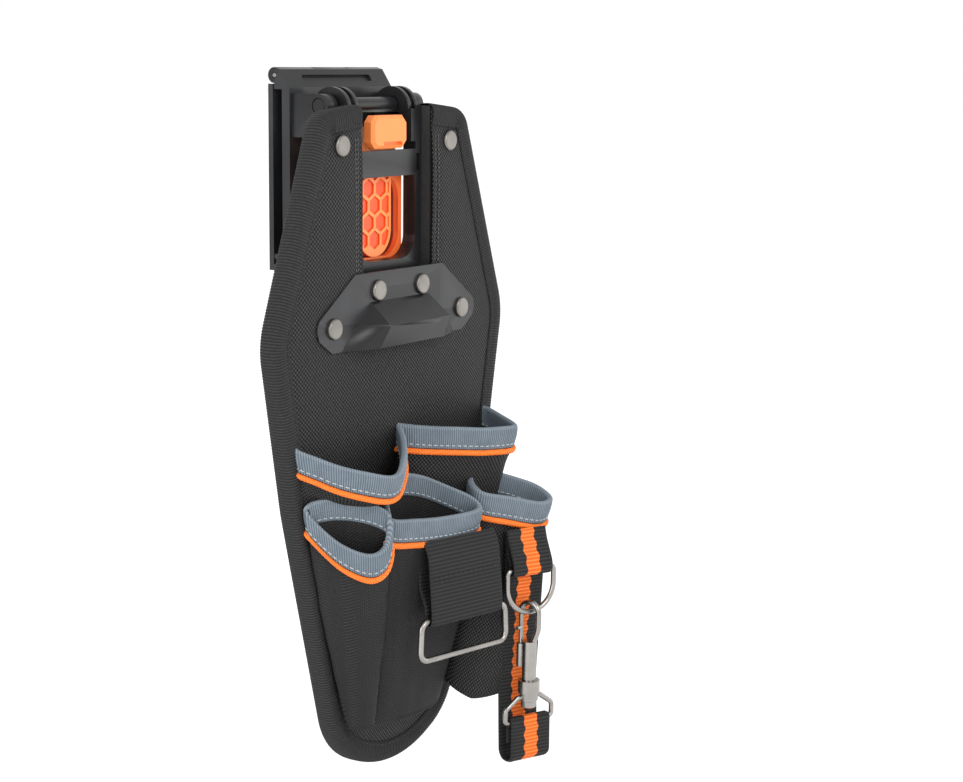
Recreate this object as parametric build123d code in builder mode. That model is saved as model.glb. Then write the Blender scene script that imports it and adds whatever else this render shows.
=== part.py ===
"""Electrician's tool pouch: a padded fabric holster that hangs from a plastic belt clip.

Everything is drawn from one datum: X = 0 on the centre line, Y = 0 on the front face of the
padded panel (the front is -Y) and Z = 0 on the line of the two top rivets. save() moves each
finished piece so that the origin is at the top of the belt slot. Sizes are in millimetres.
"""
from build123d import *
from math import cos, hypot, radians, sin, sqrt
import os

os.makedirs("parts", exist_ok=True)

# ---- driving sizes: belt clip -------------------------------------------------------------
clip_width = 86.0
plate_front = 36.0          # front face of the clip's front plate
plate_thick = 5.0
slot_gap = 6.0              # belt thickness that fits
slot_top = 27.0
slot_height = 84.0          # belt height that fits
leaf_thick = 3.0
foot_height = 5.0
knuckle_radius = 4.0
knuckle_height = 7.0        # hinge pin above the slot top
knuckle_length = 28.0       # the rear leaf's share of the knuckle
clip_pin_radius = 1.25
lip_height = 3.2
# ---- driving sizes: hook bar and hanger ----------------------------------------------------
bar_radius = 4.0
bar_y = 19.0
bar_z = 19.0
lug_width = 8.0
lug_inner = 33.0            # from the centre line to each lug
lug_wall = 2.0
lug_bottom = 3.0
arm_radius = 11.5
arm_width = 9.0
arm_groove = 1.6
prong_bottom = 9.0
frame_half = 30.0
rail_width = 5.0
frame_front = 6.4
frame_depth = 8.1
frame_bottom = -66.0
crossbar_top = -4.0
crossbar_bottom = -17.6
crossbar_thick = 2.2
window_bottom = -61.0
window_corner = 12.0
flange_thick = 2.5
flange_half = 51.0
flange_top = 5.5
flange_bottom = -84.0
flange_tail_half = 28.0
# ---- driving sizes: release lever -----------------------------------------------------------
lever_pin_radius = 1.5
lever_pin_y = 12.0
lever_pin_z = -11.0
hub_radius = 3.0
lever_travel = 8.0          # degrees
button_half = 15.0
button_front = 4.0
button_back = 10.0
button_top = 14.0
button_bottom = -3.0
tongue_half = 14.0
tongue_front = 14.4
tongue_thick = 3.2
tongue_bottom = -60.0
guard_half = 24.0
guard_width = 3.0
guard_depth = 5.5
honeycomb_cell = 10.4
honeycomb_rib = 1.7
honeycomb_depth = 1.0
# ---- driving sizes: padded panel -------------------------------------------------------------
cover_thick = 1.5
foam_thick = 6.5
notch_half = 30.6
notch_bottom = -66.6
binding_width = 10.5
binding_thick = 1.2
shoulder = (61.0, 15.5)
widest = (99.5, -95.0)
waist = (84.0, -182.0)
heel = (50.0, -316.0)
panel_bottom = -338.0
lobe_top = 18.5
lobe_inner = 33.0           # where each lobe of the top edge begins
# ---- driving sizes: deflector and rivets -------------------------------------------------------
deflector_thick = 2.2
wedge_reach = 16.0
wedge_lip = 10.5            # how far the wedge's lower edge stands out
rivet_cap_radius = 5.5
rivet_cap_height = 2.0
rivet_shank_radius = 1.6
washer_height = 1.0
top_rivets = [(-46.5, 0.0), (46.5, 0.0)]
inner_rivets = [(-19.0, -74.5), (19.0, -74.5)]
outer_rivets = [(-55.5, -90.7), (55.5, -90.7)]
# ---- driving sizes: pockets ----------------------------------------------------------------------
wall = 1.5
hem_height = 11.6
hem_skin = 0.9
piping_size = 3.3
piping_stand = 1.6          # how far the piping stands off the pocket
# ---- driving sizes: webbing, bail, ring and snap hook ----------------------------------------------
webbing_thick = 1.5
bail_webbing_width = 50.0
bail_wire = 1.6
bail_half = 29.6
bail_drop = 21.0
bail_corner = 5.0
bail_turn = 13.0            # degrees that the pocket's front is turned about Z
bail_place = (6.0, -37.6, -245.0)
strap_width = 25.0
strap_turn = 24.0
strap_place = (53.2, -47.3, -229.0)
strap_loop_z = -337.0
tab_height = 19.0
ring_wire = 1.5
ring_out = 6.8              # from the strap's plane to the ring's
ring_radius = 15.0
ring_straight = 9.0
ring_corner = 2.4
hook_wire = 1.6
crook_radius = 5.6
crook_drop = 24.6           # ring bar to the middle of the crook
tube_radius = 4.0
tube_top = -16.0            # heights on the snap hook, from the middle of the crook
tube_bottom = -38.0
collar_radius = 6.0
collar_bottom = -45.0
gate_radius = 2.4
gate_top = -18.0
gate_bottom = -31.0
boss_height = 4.0
boss_radius = 5.0
stem_radius = 2.4
cap_radius = 4.2
eye_wire = 1.4
eye_half = 15.0
eye_drop = 13.5
plunger_radius = 1.2
plunger_length = 20.0
stud_level = -9.0
stud_radius = 1.1
stud_length = 4.2
# ---- clearances -----------------------------------------------------------------------------------
running = 0.4               # between pieces that turn or slide on each other
fit = 0.1                   # around shanks and pins that stay still
seam_gap = 0.3              # between soft pieces

# ---- places that follow from the sizes ------------------------------------------------------------
slot_front = plate_front + plate_thick
slot_back = slot_front + slot_gap
leaf_back = slot_back + leaf_thick
slot_middle = (slot_front + slot_back) / 2
slot_bottom = slot_top - slot_height
knuckle_y = leaf_back - knuckle_radius
knuckle_z = slot_top + knuckle_height
half_clip = clip_width / 2
panel_back = 2 * cover_thick + foam_thick
flange_back = panel_back + flange_thick
frame_back = frame_front + frame_depth
lug_outer = lug_inner + lug_width
datum = Location((0, -slot_middle, -slot_top))


def save(piece, label):
    """Moves a finished piece to the belt slot's frame and writes it."""
    placed = piece.moved(datum)
    placed.label = label
    export_step(placed, f"parts/{label}.step")


def side_plane(x):
    """A plane at one X, drawn in (Y, Z) and pushed toward +X."""
    return Plane(origin=(x, 0, 0), x_dir=(0, 1, 0), z_dir=(1, 0, 0))


def front_plane(y):
    """A plane at one Y, drawn in (X, Z) and pushed toward +Y when the amount is negative."""
    return Plane(origin=(0, y, 0), x_dir=(1, 0, 0), z_dir=(0, -1, 0))


def grown(points, amount):
    """Corners of a closed outline with every side moved outward (anticlockwise outlines)."""
    moved = []
    for i, (x, y) in enumerate(points):
        before, after = points[i - 1], points[(i + 1) % len(points)]
        first, second = hypot(x - before[0], y - before[1]), hypot(after[0] - x, after[1] - y)
        n1 = ((y - before[1]) / first, (before[0] - x) / first)
        n2 = ((after[1] - y) / second, (x - after[0]) / second)
        reach = amount / (1 + n1[0] * n2[0] + n1[1] * n2[1])
        moved.append((x + (n1[0] + n2[0]) * reach, y + (n1[1] + n2[1]) * reach))
    return moved


# ==== belt clip ======================================================================================
def clip_front_plate():
    """Front plate, its bridge over the belt, the outer knuckles, the foot and the two bar lugs."""
    with BuildPart() as plate:
        with BuildSketch(side_plane(-half_clip)):
            with BuildLine():
                Polyline(
                    (plate_front, slot_bottom - foot_height),
                    (plate_front, slot_top + 1),
                    (knuckle_y - 4, knuckle_z + knuckle_radius - 1),
                    (knuckle_y, knuckle_z + knuckle_radius),
                    (knuckle_y, slot_top),
                    (slot_front, slot_top),
                    (slot_front, slot_bottom),
                    (slot_back - running, slot_bottom),
                    (slot_back - running, slot_bottom - foot_height),
                    close=True,
                )
            make_face()
        extrude(amount=clip_width)
        with BuildSketch(side_plane(-half_clip)):
            with Locations((knuckle_y, knuckle_z)):
                Circle(knuckle_radius)
        extrude(amount=clip_width)
        # room for the leaf's knuckle, and the pin's bore
        with BuildSketch(side_plane(-knuckle_length / 2 - running)):
            with Locations((knuckle_y, knuckle_z)):
                Circle(knuckle_radius + running)
            with Locations((knuckle_y + knuckle_radius, knuckle_z - knuckle_radius)):
                Rectangle(2 * knuckle_radius, 2 * knuckle_radius)
        extrude(amount=knuckle_length + 2 * running, mode=Mode.SUBTRACT)
        with BuildSketch(side_plane(-half_clip)):
            with Locations((knuckle_y, knuckle_z)):
                Circle(clip_pin_radius + fit)
        extrude(amount=clip_width, mode=Mode.SUBTRACT)
        # shallow groove along the bridge's sloping top
        slope = Plane(
            origin=(0, (plate_front + knuckle_y - 4) / 2, (slot_top + knuckle_z + knuckle_radius) / 2),
            x_dir=(1, 0, 0),
            z_dir=(0, -(knuckle_z + knuckle_radius - 2 - slot_top), knuckle_y - 4 - plate_front),
        )
        with BuildSketch(slope):
            SlotOverall(clip_width - 28, 4)
        extrude(amount=-1.6, mode=Mode.SUBTRACT)
        # lugs that carry the hook bar
        for inner in (-lug_outer, lug_inner):
            with BuildSketch(side_plane(inner)):
                with Locations((bar_y, bar_z)):
                    Circle(bar_radius + lug_wall)
                with BuildLine():
                    Polyline(
                        (bar_y - bar_radius - lug_wall, bar_z),
                        (bar_y - bar_radius - lug_wall, lug_bottom + 4),
                        (bar_y, lug_bottom),
                        (plate_front, lug_bottom),
                        (plate_front, bar_z + bar_radius + lug_wall),
                        (bar_y, bar_z + bar_radius + lug_wall),
                        close=True,
                    )
                make_face()
            extrude(amount=lug_width)
        with BuildSketch(side_plane(-lug_outer)):
            with Locations((bar_y, bar_z)):
                Circle(bar_radius + fit)
        extrude(amount=2 * lug_outer, mode=Mode.SUBTRACT)
        corners = plate.edges().filter_by(Axis.Y).group_by(Axis.Z)[0]
        fillet(corners, foot_height - 1)
    save(plate.part, "clip_front_plate")


def clip_rear_leaf():
    """Flat leaf behind the belt, with the middle knuckle and a lip that hooks under the foot."""
    leaf_top = knuckle_z - knuckle_radius - running
    lip_top = slot_bottom - foot_height - running
    with BuildPart() as leaf:
        with BuildSketch(side_plane(-half_clip)):
            with BuildLine():
                Polyline(
                    (slot_back, leaf_top),
                    (leaf_back, leaf_top),
                    (leaf_back, lip_top - lip_height),
                    (slot_back - 4, lip_top - lip_height),
                    (slot_back - 4, lip_top),
                    (slot_back, lip_top),
                    close=True,
                )
            make_face()
        extrude(amount=clip_width)
        with BuildSketch(side_plane(-knuckle_length / 2)):
            with Locations((knuckle_y, knuckle_z)):
                Circle(knuckle_radius)
            with Locations(((slot_back + leaf_back) / 2, (leaf_top + knuckle_z) / 2)):
                Rectangle(leaf_thick, knuckle_z - leaf_top)
        extrude(amount=knuckle_length)
        with BuildSketch(side_plane(-half_clip)):
            with Locations((knuckle_y, knuckle_z)):
                Circle(clip_pin_radius + fit)
        extrude(amount=clip_width, mode=Mode.SUBTRACT)
        # stiffening ribs' windows
        with BuildSketch(front_plane(leaf_back)):
            with Locations((0, (slot_top + slot_bottom) / 2)):
                with GridLocations(0, 22, 1, 3):
                    SlotOverall(clip_width - 30, 7)
        extrude(amount=1.0, mode=Mode.SUBTRACT)
    save(leaf.part, "clip_rear_leaf")


def clip_pin():
    """Steel hinge pin of the belt clip."""
    with BuildPart() as pin:
        with BuildSketch(side_plane(-half_clip)):
            with Locations((knuckle_y, knuckle_z)):
                Circle(clip_pin_radius)
        extrude(amount=clip_width)
        chamfer(pin.edges().filter_by(GeomType.CIRCLE), 0.3)
    save(pin.part, "clip_hinge_pin")


def hook_bar():
    """Round bar between the lugs, on which the pouch's hooks hang and turn."""
    with BuildPart() as bar:
        with BuildSketch(side_plane(-lug_outer)):
            with Locations((bar_y, bar_z)):
                Circle(bar_radius)
        extrude(amount=2 * lug_outer)
        chamfer(bar.edges().filter_by(GeomType.CIRCLE), 0.5)
    save(bar.part, "hook_bar")


# ==== hanger and release lever =========================================================================
def hanger_frame():
    """Moulded frame: window with crossbar, two hook arms and the flange that is riveted on."""
    with BuildPart() as frame:
        with BuildSketch(front_plane(frame_front)):
            with Locations((0, (frame_bottom + bar_z) / 2)):
                Rectangle(2 * frame_half, bar_z - frame_bottom)
            with Locations((0, (window_bottom + bar_z + 20) / 2)):
                RectangleRounded(
                    2 * (frame_half - rail_width), bar_z + 20 - window_bottom, window_corner,
                    mode=Mode.SUBTRACT,
                )
        extrude(amount=-frame_depth)
        # crossbar with a small slot at each end
        with BuildSketch(front_plane(frame_front)):
            with Locations((0, (crossbar_top + crossbar_bottom) / 2)):
                Rectangle(2 * frame_half, crossbar_top - crossbar_bottom)
        extrude(amount=-crossbar_thick)
        with BuildSketch(front_plane(frame_front)):
            for side in (-1, 1):
                with Locations((side * (frame_half - 3.0), (crossbar_top + crossbar_bottom) / 2)):
                    Rectangle(2.4, 9.0)
        extrude(amount=-1.6, mode=Mode.SUBTRACT)
        # flange behind the padded panel
        with BuildSketch(front_plane(panel_back)):
            with BuildLine():
                Polyline(
                    (-flange_half, flange_top), (-flange_half, -14),
                    (-flange_tail_half, frame_bottom), (-flange_tail_half, flange_bottom),
                    (flange_tail_half, flange_bottom), (flange_tail_half, frame_bottom),
                    (flange_half, -14), (flange_half, flange_top), close=True,
                )
            make_face()
            with Locations((0, (window_bottom + flange_top + 20) / 2)):
                RectangleRounded(
                    2 * (frame_half - rail_width), flange_top + 20 - window_bottom, window_corner,
                    mode=Mode.SUBTRACT,
                )
        extrude(amount=-flange_thick)
        # hook arms: discs with a mouth that opens downward over the bar
        for inner in (-frame_half, frame_half - arm_width):
            with BuildSketch(side_plane(inner)):
                with Locations((bar_y + 1, bar_z - 2)):
                    Circle(arm_radius)
                with Locations((bar_y + 1, (prong_bottom + bar_z - 2 - arm_radius) / 2)):
                    Rectangle(3 * arm_radius, prong_bottom - (bar_z - 2 - arm_radius), mode=Mode.SUBTRACT)
                with Locations(((frame_front + frame_back) / 2, (bar_z - 2) / 2)):
                    Rectangle(frame_depth, bar_z - 2)
                with Locations((bar_y, bar_z)):
                    Circle(bar_radius + running, mode=Mode.SUBTRACT)
                with Locations((bar_y, bar_z - arm_radius)):
                    Rectangle(2 * (bar_radius + running), 2 * arm_radius, mode=Mode.SUBTRACT)
            extrude(amount=arm_width)
        for middle in (-frame_half + arm_width / 2, frame_half - arm_width / 2):
            with BuildSketch(side_plane(middle - arm_groove)):
                with Locations((bar_y + 1, bar_z - 2)):
                    Circle(arm_radius + 1)
                    Circle(arm_radius - arm_groove, mode=Mode.SUBTRACT)
                with Locations((bar_y + 1, prong_bottom - arm_radius)):
                    Rectangle(4 * arm_radius, 2 * arm_radius, mode=Mode.SUBTRACT)
            extrude(amount=2 * arm_groove, mode=Mode.SUBTRACT)
        # bores for the lever pin and the rivets
        with BuildSketch(side_plane(-frame_half)):
            with Locations((lever_pin_y, lever_pin_z)):
                Circle(lever_pin_radius + fit)
        extrude(amount=2 * frame_half, mode=Mode.SUBTRACT)
        with BuildSketch(front_plane(panel_back)):
            with Locations(*(top_rivets + inner_rivets)):
                Circle(rivet_shank_radius + fit)
        extrude(amount=-flange_thick, mode=Mode.SUBTRACT)
    save(frame.part, "hanger_frame")


def release_lever():
    """Orange lever: button above the crossbar, honeycomb tongue and guard below, latch nose."""
    hub_half = frame_half - rail_width - running
    # the web clears the back of the crossbar over the lever's whole travel
    swing = (crossbar_top - lever_pin_z) * sin(radians(lever_travel))
    web_front = frame_front + crossbar_thick + running + swing
    web_step = crossbar_top + 1.5
    with BuildPart() as lever:
        with BuildSketch(side_plane(-hub_half)):
            with Locations((lever_pin_y, lever_pin_z)):
                Circle(hub_radius)
        extrude(amount=2 * hub_half)
        # button with chamfered face, joined to the hub by a web behind the crossbar
        with BuildSketch(front_plane(button_front)) as button:
            with Locations((0, (button_top + button_bottom) / 2)):
                Rectangle(2 * button_half, button_top - button_bottom)
            chamfer(button.vertices(), 3.4)
        extrude(amount=-(button_back - button_front))
        chamfer(lever.faces().filter_by(Axis.Y).sort_by(Axis.Y)[0].edges(), 1.6)
        with BuildSketch(front_plane(button_front)):
            with Locations((2, button_bottom + 2.6)):
                Rectangle(2 * button_half - 14, 1.8)
        extrude(amount=-2.0, mode=Mode.SUBTRACT)
        with BuildSketch(side_plane(-tongue_half + 2)):
            with BuildLine():
                Polyline(
                    (web_front, lever_pin_z), (web_front, web_step),
                    (button_back - 1, web_step), (button_back - 1, button_top - 6),
                    (bar_y - 3, button_top - 6), (bar_y - 3, button_top - 9),
                    (lever_pin_y + 1.5, button_top - 9), (lever_pin_y + 1.5, lever_pin_z), close=True,
                )
            make_face()
        extrude(amount=2 * tongue_half - 4)
        # tongue with a rounded lower end
        with BuildSketch(front_plane(tongue_front)):
            with BuildLine():
                left = Line((-tongue_half, lever_pin_z), (-tongue_half, tongue_bottom + tongue_half))
                round_end = RadiusArc(left @ 1, (tongue_half, tongue_bottom + tongue_half), -tongue_half)
                right = Line(round_end @ 1, (tongue_half, lever_pin_z))
                Line(right @ 1, left @ 0)
            make_face()
        extrude(amount=-tongue_thick)
        with BuildSketch(side_plane(-tongue_half)):
            with Locations(((lever_pin_y + tongue_front + tongue_thick) / 2, lever_pin_z)):
                Rectangle(tongue_front + tongue_thick - lever_pin_y, 2 * hub_radius - 1)
        extrude(amount=2 * tongue_half)
        # hexagonal cells sunk in the tongue's face, inside a plain rim
        row_pitch = honeycomb_cell * sqrt(3) / 2
        cells = [
            (honeycomb_cell * (column + 0.5 * (row % 2)), tongue_bottom + 9 + row_pitch * row)
            for row in range(5) for column in (-2, -1, 0, 1)
        ]
        rim_half = tongue_half - honeycomb_rib
        with BuildSketch(front_plane(tongue_front)):
            with Locations(*cells):
                RegularPolygon((honeycomb_cell - honeycomb_rib) / 2, 6, major_radius=False, rotation=30)
            with BuildLine():
                rim_left = Line((-rim_half, crossbar_bottom + 2), (-rim_half, tongue_bottom + tongue_half))
                rim_end = RadiusArc(rim_left @ 1, (rim_half, tongue_bottom + tongue_half), -rim_half)
                rim_right = Line(rim_end @ 1, (rim_half, crossbar_bottom + 2))
                Line(rim_right @ 1, rim_left @ 0)
            make_face(mode=Mode.INTERSECT)
        extrude(amount=-honeycomb_depth, mode=Mode.SUBTRACT)
        # guard that lines the window behind the frame
        with BuildSketch(front_plane(frame_back + running)):
            with Locations((0, (tongue_bottom - 3 + lever_pin_z + 4) / 2)):
                RectangleRounded(2 * guard_half, lever_pin_z + 4 - tongue_bottom + 3, 3.5)
            with Locations((0, (tongue_bottom - 3 + guard_width + crossbar_bottom) / 2)):
                RectangleRounded(
                    2 * (guard_half - guard_width), crossbar_bottom - tongue_bottom + 3 - guard_width,
                    window_corner, mode=Mode.SUBTRACT,
                )
        extrude(amount=-guard_depth)
        with BuildSketch(side_plane(-hub_half)):
            with Locations((lever_pin_y, lever_pin_z)):
                Circle(lever_pin_radius + fit)
        extrude(amount=2 * hub_half, mode=Mode.SUBTRACT)
    save(lever.part, "release_lever")


def lever_pin():
    """Steel pin that the release lever rocks on."""
    with BuildPart() as pin:
        with BuildSketch(side_plane(-frame_half)):
            with Locations((lever_pin_y, lever_pin_z)):
                Circle(lever_pin_radius)
        extrude(amount=2 * frame_half)
    save(pin.part, "lever_pin")


# ==== padded panel =======================================================================================
def panel_outline(grow=0.0):
    """Outline of the padded panel, grown outward, drawn in (X, Z)."""
    right = [(lobe_inner, lobe_top), shoulder, widest, waist, heel]
    left = [(-x, z) for x, z in reversed(right)]
    half_radii = [8, 13, 40, 110, 40]
    radii = half_radii + [70] + half_radii[::-1]
    with BuildSketch() as shape:
        with BuildLine():
            FilletPolyline(
                *grown(right + [(0, panel_bottom)] + left, -grow), close=True,
                radius=[max(radius + grow, 1.5) for radius in radii],
            )
        make_face()
    return shape.sketch


def notch(side=0.0):
    """The notch for the hanger, open at the top, drawn in (X, Z)."""
    with BuildSketch() as cut:
        with Locations((0, (notch_bottom + side + lobe_top + 30) / 2)):
            Rectangle(2 * (notch_half - side), lobe_top + 30 - notch_bottom - side)
    return cut.sketch


def panel_layer(label, front, thick, holes):
    """One layer of the panel, with the notch and the rivet holes."""
    with BuildPart() as layer:
        with BuildSketch(front_plane(front)):
            add(panel_outline())
            add(notch(), mode=Mode.SUBTRACT)
            with Locations(*holes):
                Circle(rivet_shank_radius + fit, mode=Mode.SUBTRACT)
        extrude(amount=-thick)
    save(layer.part, label)


def panel_binding():
    """Ribbed tape folded around the panel's edge, front and back."""
    with BuildPart() as tape:
        with BuildSketch(front_plane(-binding_thick)):
            add(panel_outline(binding_thick))
            add(panel_outline(-binding_width), mode=Mode.SUBTRACT)
            add(notch(), mode=Mode.SUBTRACT)
        extrude(amount=-(panel_back + 2 * binding_thick))
        with BuildSketch(front_plane(0)):
            add(panel_outline())
        extrude(amount=-panel_back, mode=Mode.SUBTRACT)
    save(tape.part, "panel_binding")
    return tape.part


def deflector_plate():
    """Moulded plate over the pocket mouths' top, with a raised wedge open at the bottom."""
    top = -65.0
    nose = -91.0
    bottom = -103.0
    with BuildPart() as plate:
        with BuildSketch(front_plane(0)) as outline:
            Polygon(
                (-38, top), (38, top), (70, -88), (67, -96), (57, bottom),
                (-57, bottom), (-67, -96), (-70, -88), align=None,
            )
            fillet(outline.vertices().group_by(Axis.X)[0], 7)
            fillet(outline.vertices().group_by(Axis.X)[-1], 7)
        extrude(amount=deflector_thick)
        with BuildPart(mode=Mode.PRIVATE) as wedge:
            with BuildSketch(Plane.XY.offset(bottom)):
                Polygon((-55, 0), (-28, -wedge_lip), (28, -wedge_lip), (55, 0), align=None)
            with BuildSketch(Plane.XY.offset(nose)):
                Polygon((-39, 0), (-26, -wedge_reach), (26, -wedge_reach), (39, 0), align=None)
            with BuildSketch(Plane.XY.offset(-80.0)):
                Polygon((-26, 0), (-25, -deflector_thick), (25, -deflector_thick), (26, 0), align=None)
            loft(ruled=True)
        with BuildPart(mode=Mode.PRIVATE) as hollow:
            with BuildSketch(Plane.XY.offset(bottom - 1)):
                Polygon((-50, 0.1), (-26.5, -wedge_lip + 2), (26.5, -wedge_lip + 2), (50, 0.1), align=None)
            with BuildSketch(Plane.XY.offset(nose)):
                inside = wedge_reach - 2.4
                Polygon((-35.5, 0.1), (-24.5, -inside), (24.5, -inside), (35.5, 0.1), align=None)
            with BuildSketch(Plane.XY.offset(-83.5)):
                Polygon((-25.5, 0.1), (-24, -0.4), (24, -0.4), (25.5, 0.1), align=None)
            loft(ruled=True)
        add(wedge.part)
        add(hollow.part, mode=Mode.SUBTRACT)
        with BuildSketch(front_plane(-deflector_thick)):
            with Locations(*(inner_rivets + outer_rivets)):
                Circle(rivet_shank_radius + fit)
        extrude(amount=-deflector_thick, mode=Mode.SUBTRACT)
    save(plate.part, "deflector_plate")


def rivets(label, places, head_y, tail_y):
    """Tubular rivets: a domed cap at head_y and a shank that reaches to tail_y."""
    with BuildPart() as group:
        for x, z in places:
            with BuildSketch(front_plane(head_y)):
                with Locations((x, z)):
                    Circle(rivet_cap_radius)
            extrude(amount=rivet_cap_height)
        fillet(group.edges().filter_by(GeomType.CIRCLE).group_by(Axis.Y)[0], 1.2)
        for x, z in places:
            with BuildSketch(front_plane(head_y)):
                with Locations((x, z)):
                    Circle(rivet_shank_radius)
            extrude(amount=-(tail_y - head_y))
    save(group.part, label)


def washers(label, places, seat_y):
    """Burrs clenched on the rivets' back ends."""
    with BuildPart() as group:
        with BuildSketch(front_plane(seat_y)):
            with Locations(*places):
                Circle(rivet_cap_radius)
            with Locations(*places):
                Circle(rivet_shank_radius + fit, mode=Mode.SUBTRACT)
        extrude(amount=-washer_height)
    save(group.part, label)


# ==== pockets ==============================================================================================
def rounded(points):
    """A closed outline with one more point bulged out on each side, so that it runs smoothly."""
    count = len(points)
    smooth = []
    for i, near in enumerate(points):
        far, before, after = points[(i + 1) % count], points[i - 1], points[(i + 2) % count]
        middle = [(9 * (near[k] + far[k]) - before[k] - after[k]) / 16 for k in (0, 1)]
        smooth += [near, tuple(middle)]
    return smooth


def tube(top, bottom, top_z, bottom_z, amount):
    """A pocket's shape between two plan outlines, grown by an amount."""
    with BuildPart() as solid:
        for points, z in ((bottom, bottom_z), (top, top_z)):
            with BuildSketch(Plane.XY.offset(z)):
                Polygon(*grown(points, amount), align=None)
        loft(ruled=True)
    return solid.part


def mouth_plane(a, b, c):
    """The plane through three points of a pocket's mouth, facing up."""
    normal = (Vector(b) - Vector(a)).cross(Vector(c) - Vector(a))
    return Plane(origin=a, z_dir=normal if normal.Z > 0 else -normal)


def lowered(plane, drop):
    """The same plane, lower by a drop measured along Z."""
    return Plane(origin=plane.origin - Vector(0, 0, drop), z_dir=plane.z_dir)


def behind(y=0.0):
    """A block that fills everything behind one Y."""
    return Pos(0, y + 100, -200) * Box(400, 200, 500)


def extended(rim, floor, rim_z, floor_z, high):
    """A rim's plan outline carried on along the pocket's walls to a greater height."""
    reach = (high - rim_z) / (rim_z - floor_z)
    return [(x + (x - u) * reach, y + (y - v) * reach) for (x, y), (u, v) in zip(rim, floor)]


def cut(solid, planes, pieces):
    """What is left of a solid on the kept side of some planes, clear of other pieces."""
    with BuildPart() as rest:
        add(solid)
        for plane, side in planes:
            split(bisect_by=plane, keep=side)
        for piece in pieces:
            add(piece, mode=Mode.SUBTRACT)
    return max(rest.part.solids(), key=lambda part: part.volume)


def pocket(name, rim_plan, bottom, mouth, floor_z, obstacles):
    """Body, hem and piping of one pocket; returns the room it takes and what webbing sits on."""
    high = max(z for _, _, z in mouth) + 8
    middle = sum(z for _, _, z in mouth) / len(mouth)
    base = rounded(bottom)
    top = extended(rounded(rim_plan), base, middle, floor_z, high)
    plane = mouth_plane(*mouth)
    rim = lowered(plane, hem_height)
    outer = tube(top, base, high, floor_z, 0)
    inner = tube(top, base, high + 1, floor_z + wall, -wall)
    body = cut(outer, [(plane, Keep.BOTTOM)], [inner, *obstacles])
    save(body, f"{name}_pocket")
    sleeve = tube(top, base, high, floor_z, hem_skin)
    edges = [(lowered(plane, -hem_skin), Keep.BOTTOM), (rim, Keep.TOP)]
    save(cut(sleeve, edges, [inner, body, *obstacles]), f"{name}_hem")
    cord = tube(top, base, high, floor_z, piping_stand)
    edges = [(rim, Keep.BOTTOM), (lowered(rim, piping_size), Keep.TOP)]
    piping = cut(cord, edges, [outer, *obstacles])
    save(piping, f"{name}_piping")
    top_edge = (lowered(plane, -hem_skin - seam_gap), Keep.BOTTOM)
    room = cut(tube(top, base, high, floor_z, piping_stand + seam_gap), [top_edge], [])
    return room, [tube(top, base, high, floor_z, seam_gap), piping]


# plan outlines run anticlockwise seen from above, starting at the left end of the back wall
pocket_plans = {
    "lower_left": dict(
        rim_plan=[(-78, -1), (-76, -9), (-62, -26), (-48, -27), (-41, -18), (-56, -3)],
        bottom=[(-59, -3), (-60, -8), (-53, -14), (-43, -14), (-37, -8), (-42, -2)],
        mouth=[(-79, -1, -172), (-60, -26, -205), (-40, -16, -192)], floor_z=-300.0),
    "lower_middle": dict(
        rim_plan=[(-30, -14), (-37, -23), (-20, -30), (8, -36), (27, -38), (26, -27), (2, -17)],
        bottom=[(-29, -3), (-32, -10), (-18, -16), (2, -18), (19, -15), (22, -8), (0, -3)],
        mouth=[(-12, -8, -181), (-38, -24, -189), (27, -38, -194)], floor_z=-302.0),
    "lower_right": dict(
        rim_plan=[(38, -20), (31, -33), (48, -44), (66, -53), (79, -49), (77, -32), (58, -20)],
        bottom=[(32, -4), (26, -18), (29, -32), (44, -38), (58, -34), (60, -18), (46, -3)],
        mouth=[(30, -35, -186), (68, -52, -196), (72, -25, -184)], floor_z=-300.0),
    "upper_left": dict(
        rim_plan=[(-84, 3), (-80, -9), (-66, -24), (-46, -33), (-26, -24), (-4, -7), (-2, 3), (-40, 4)],
        bottom=[(-74, 3), (-72, -4), (-60, -8), (-46, -10), (-28, -10), (-6, -6), (-2, 3), (-40, 5)],
        mouth=[(-84, 0, -147), (-46, -33, -164), (-1, -6, -150)], floor_z=-262.0),
    "upper_right": dict(
        rim_plan=[(2, 3), (4, -7), (20, -18), (42, -29), (60, -33), (74, -16), (78, 3), (40, 4)],
        bottom=[(2, 3), (6, -6), (24, -10), (42, -11), (56, -9), (68, -5), (72, 3), (40, 5)],
        mouth=[(1, -6, -148), (60, -33, -154), (76, 0, -150)], floor_z=-262.0),
}


def pockets(binding):
    """All five pockets, the lower row first because it lies in front; returns the webbing's seats."""
    taken = [behind(), binding]
    seats = {}
    for name, plan in pocket_plans.items():
        room, seats[name] = pocket(name, obstacles=taken, **plan)
        taken.append(room)
    return seats


# ==== webbing, bail, ring and snap hook =====================================================================
def webbing_frame(place, turn):
    """A frame on a pocket's front: X along the webbing's width, Y into the pocket and Z up."""
    angle = radians(turn)
    return Plane(origin=place, x_dir=(cos(angle), -sin(angle), 0), z_dir=(0, 0, 1))


def section(frame, x):
    """A plane across a webbing frame, drawn in (outward, up) and pushed along the webbing's width."""
    origin = frame.origin + frame.x_dir * x
    return Plane(origin=origin, x_dir=-frame.y_dir, z_dir=-frame.x_dir)


def facing(frame, out, rise=0.0):
    """A plane parallel to the webbing's face, drawn in (width, up)."""
    origin = frame.origin - frame.y_dir * out + Vector(0, 0, rise)
    return Plane(origin=origin, x_dir=frame.x_dir, z_dir=-frame.y_dir)


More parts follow.
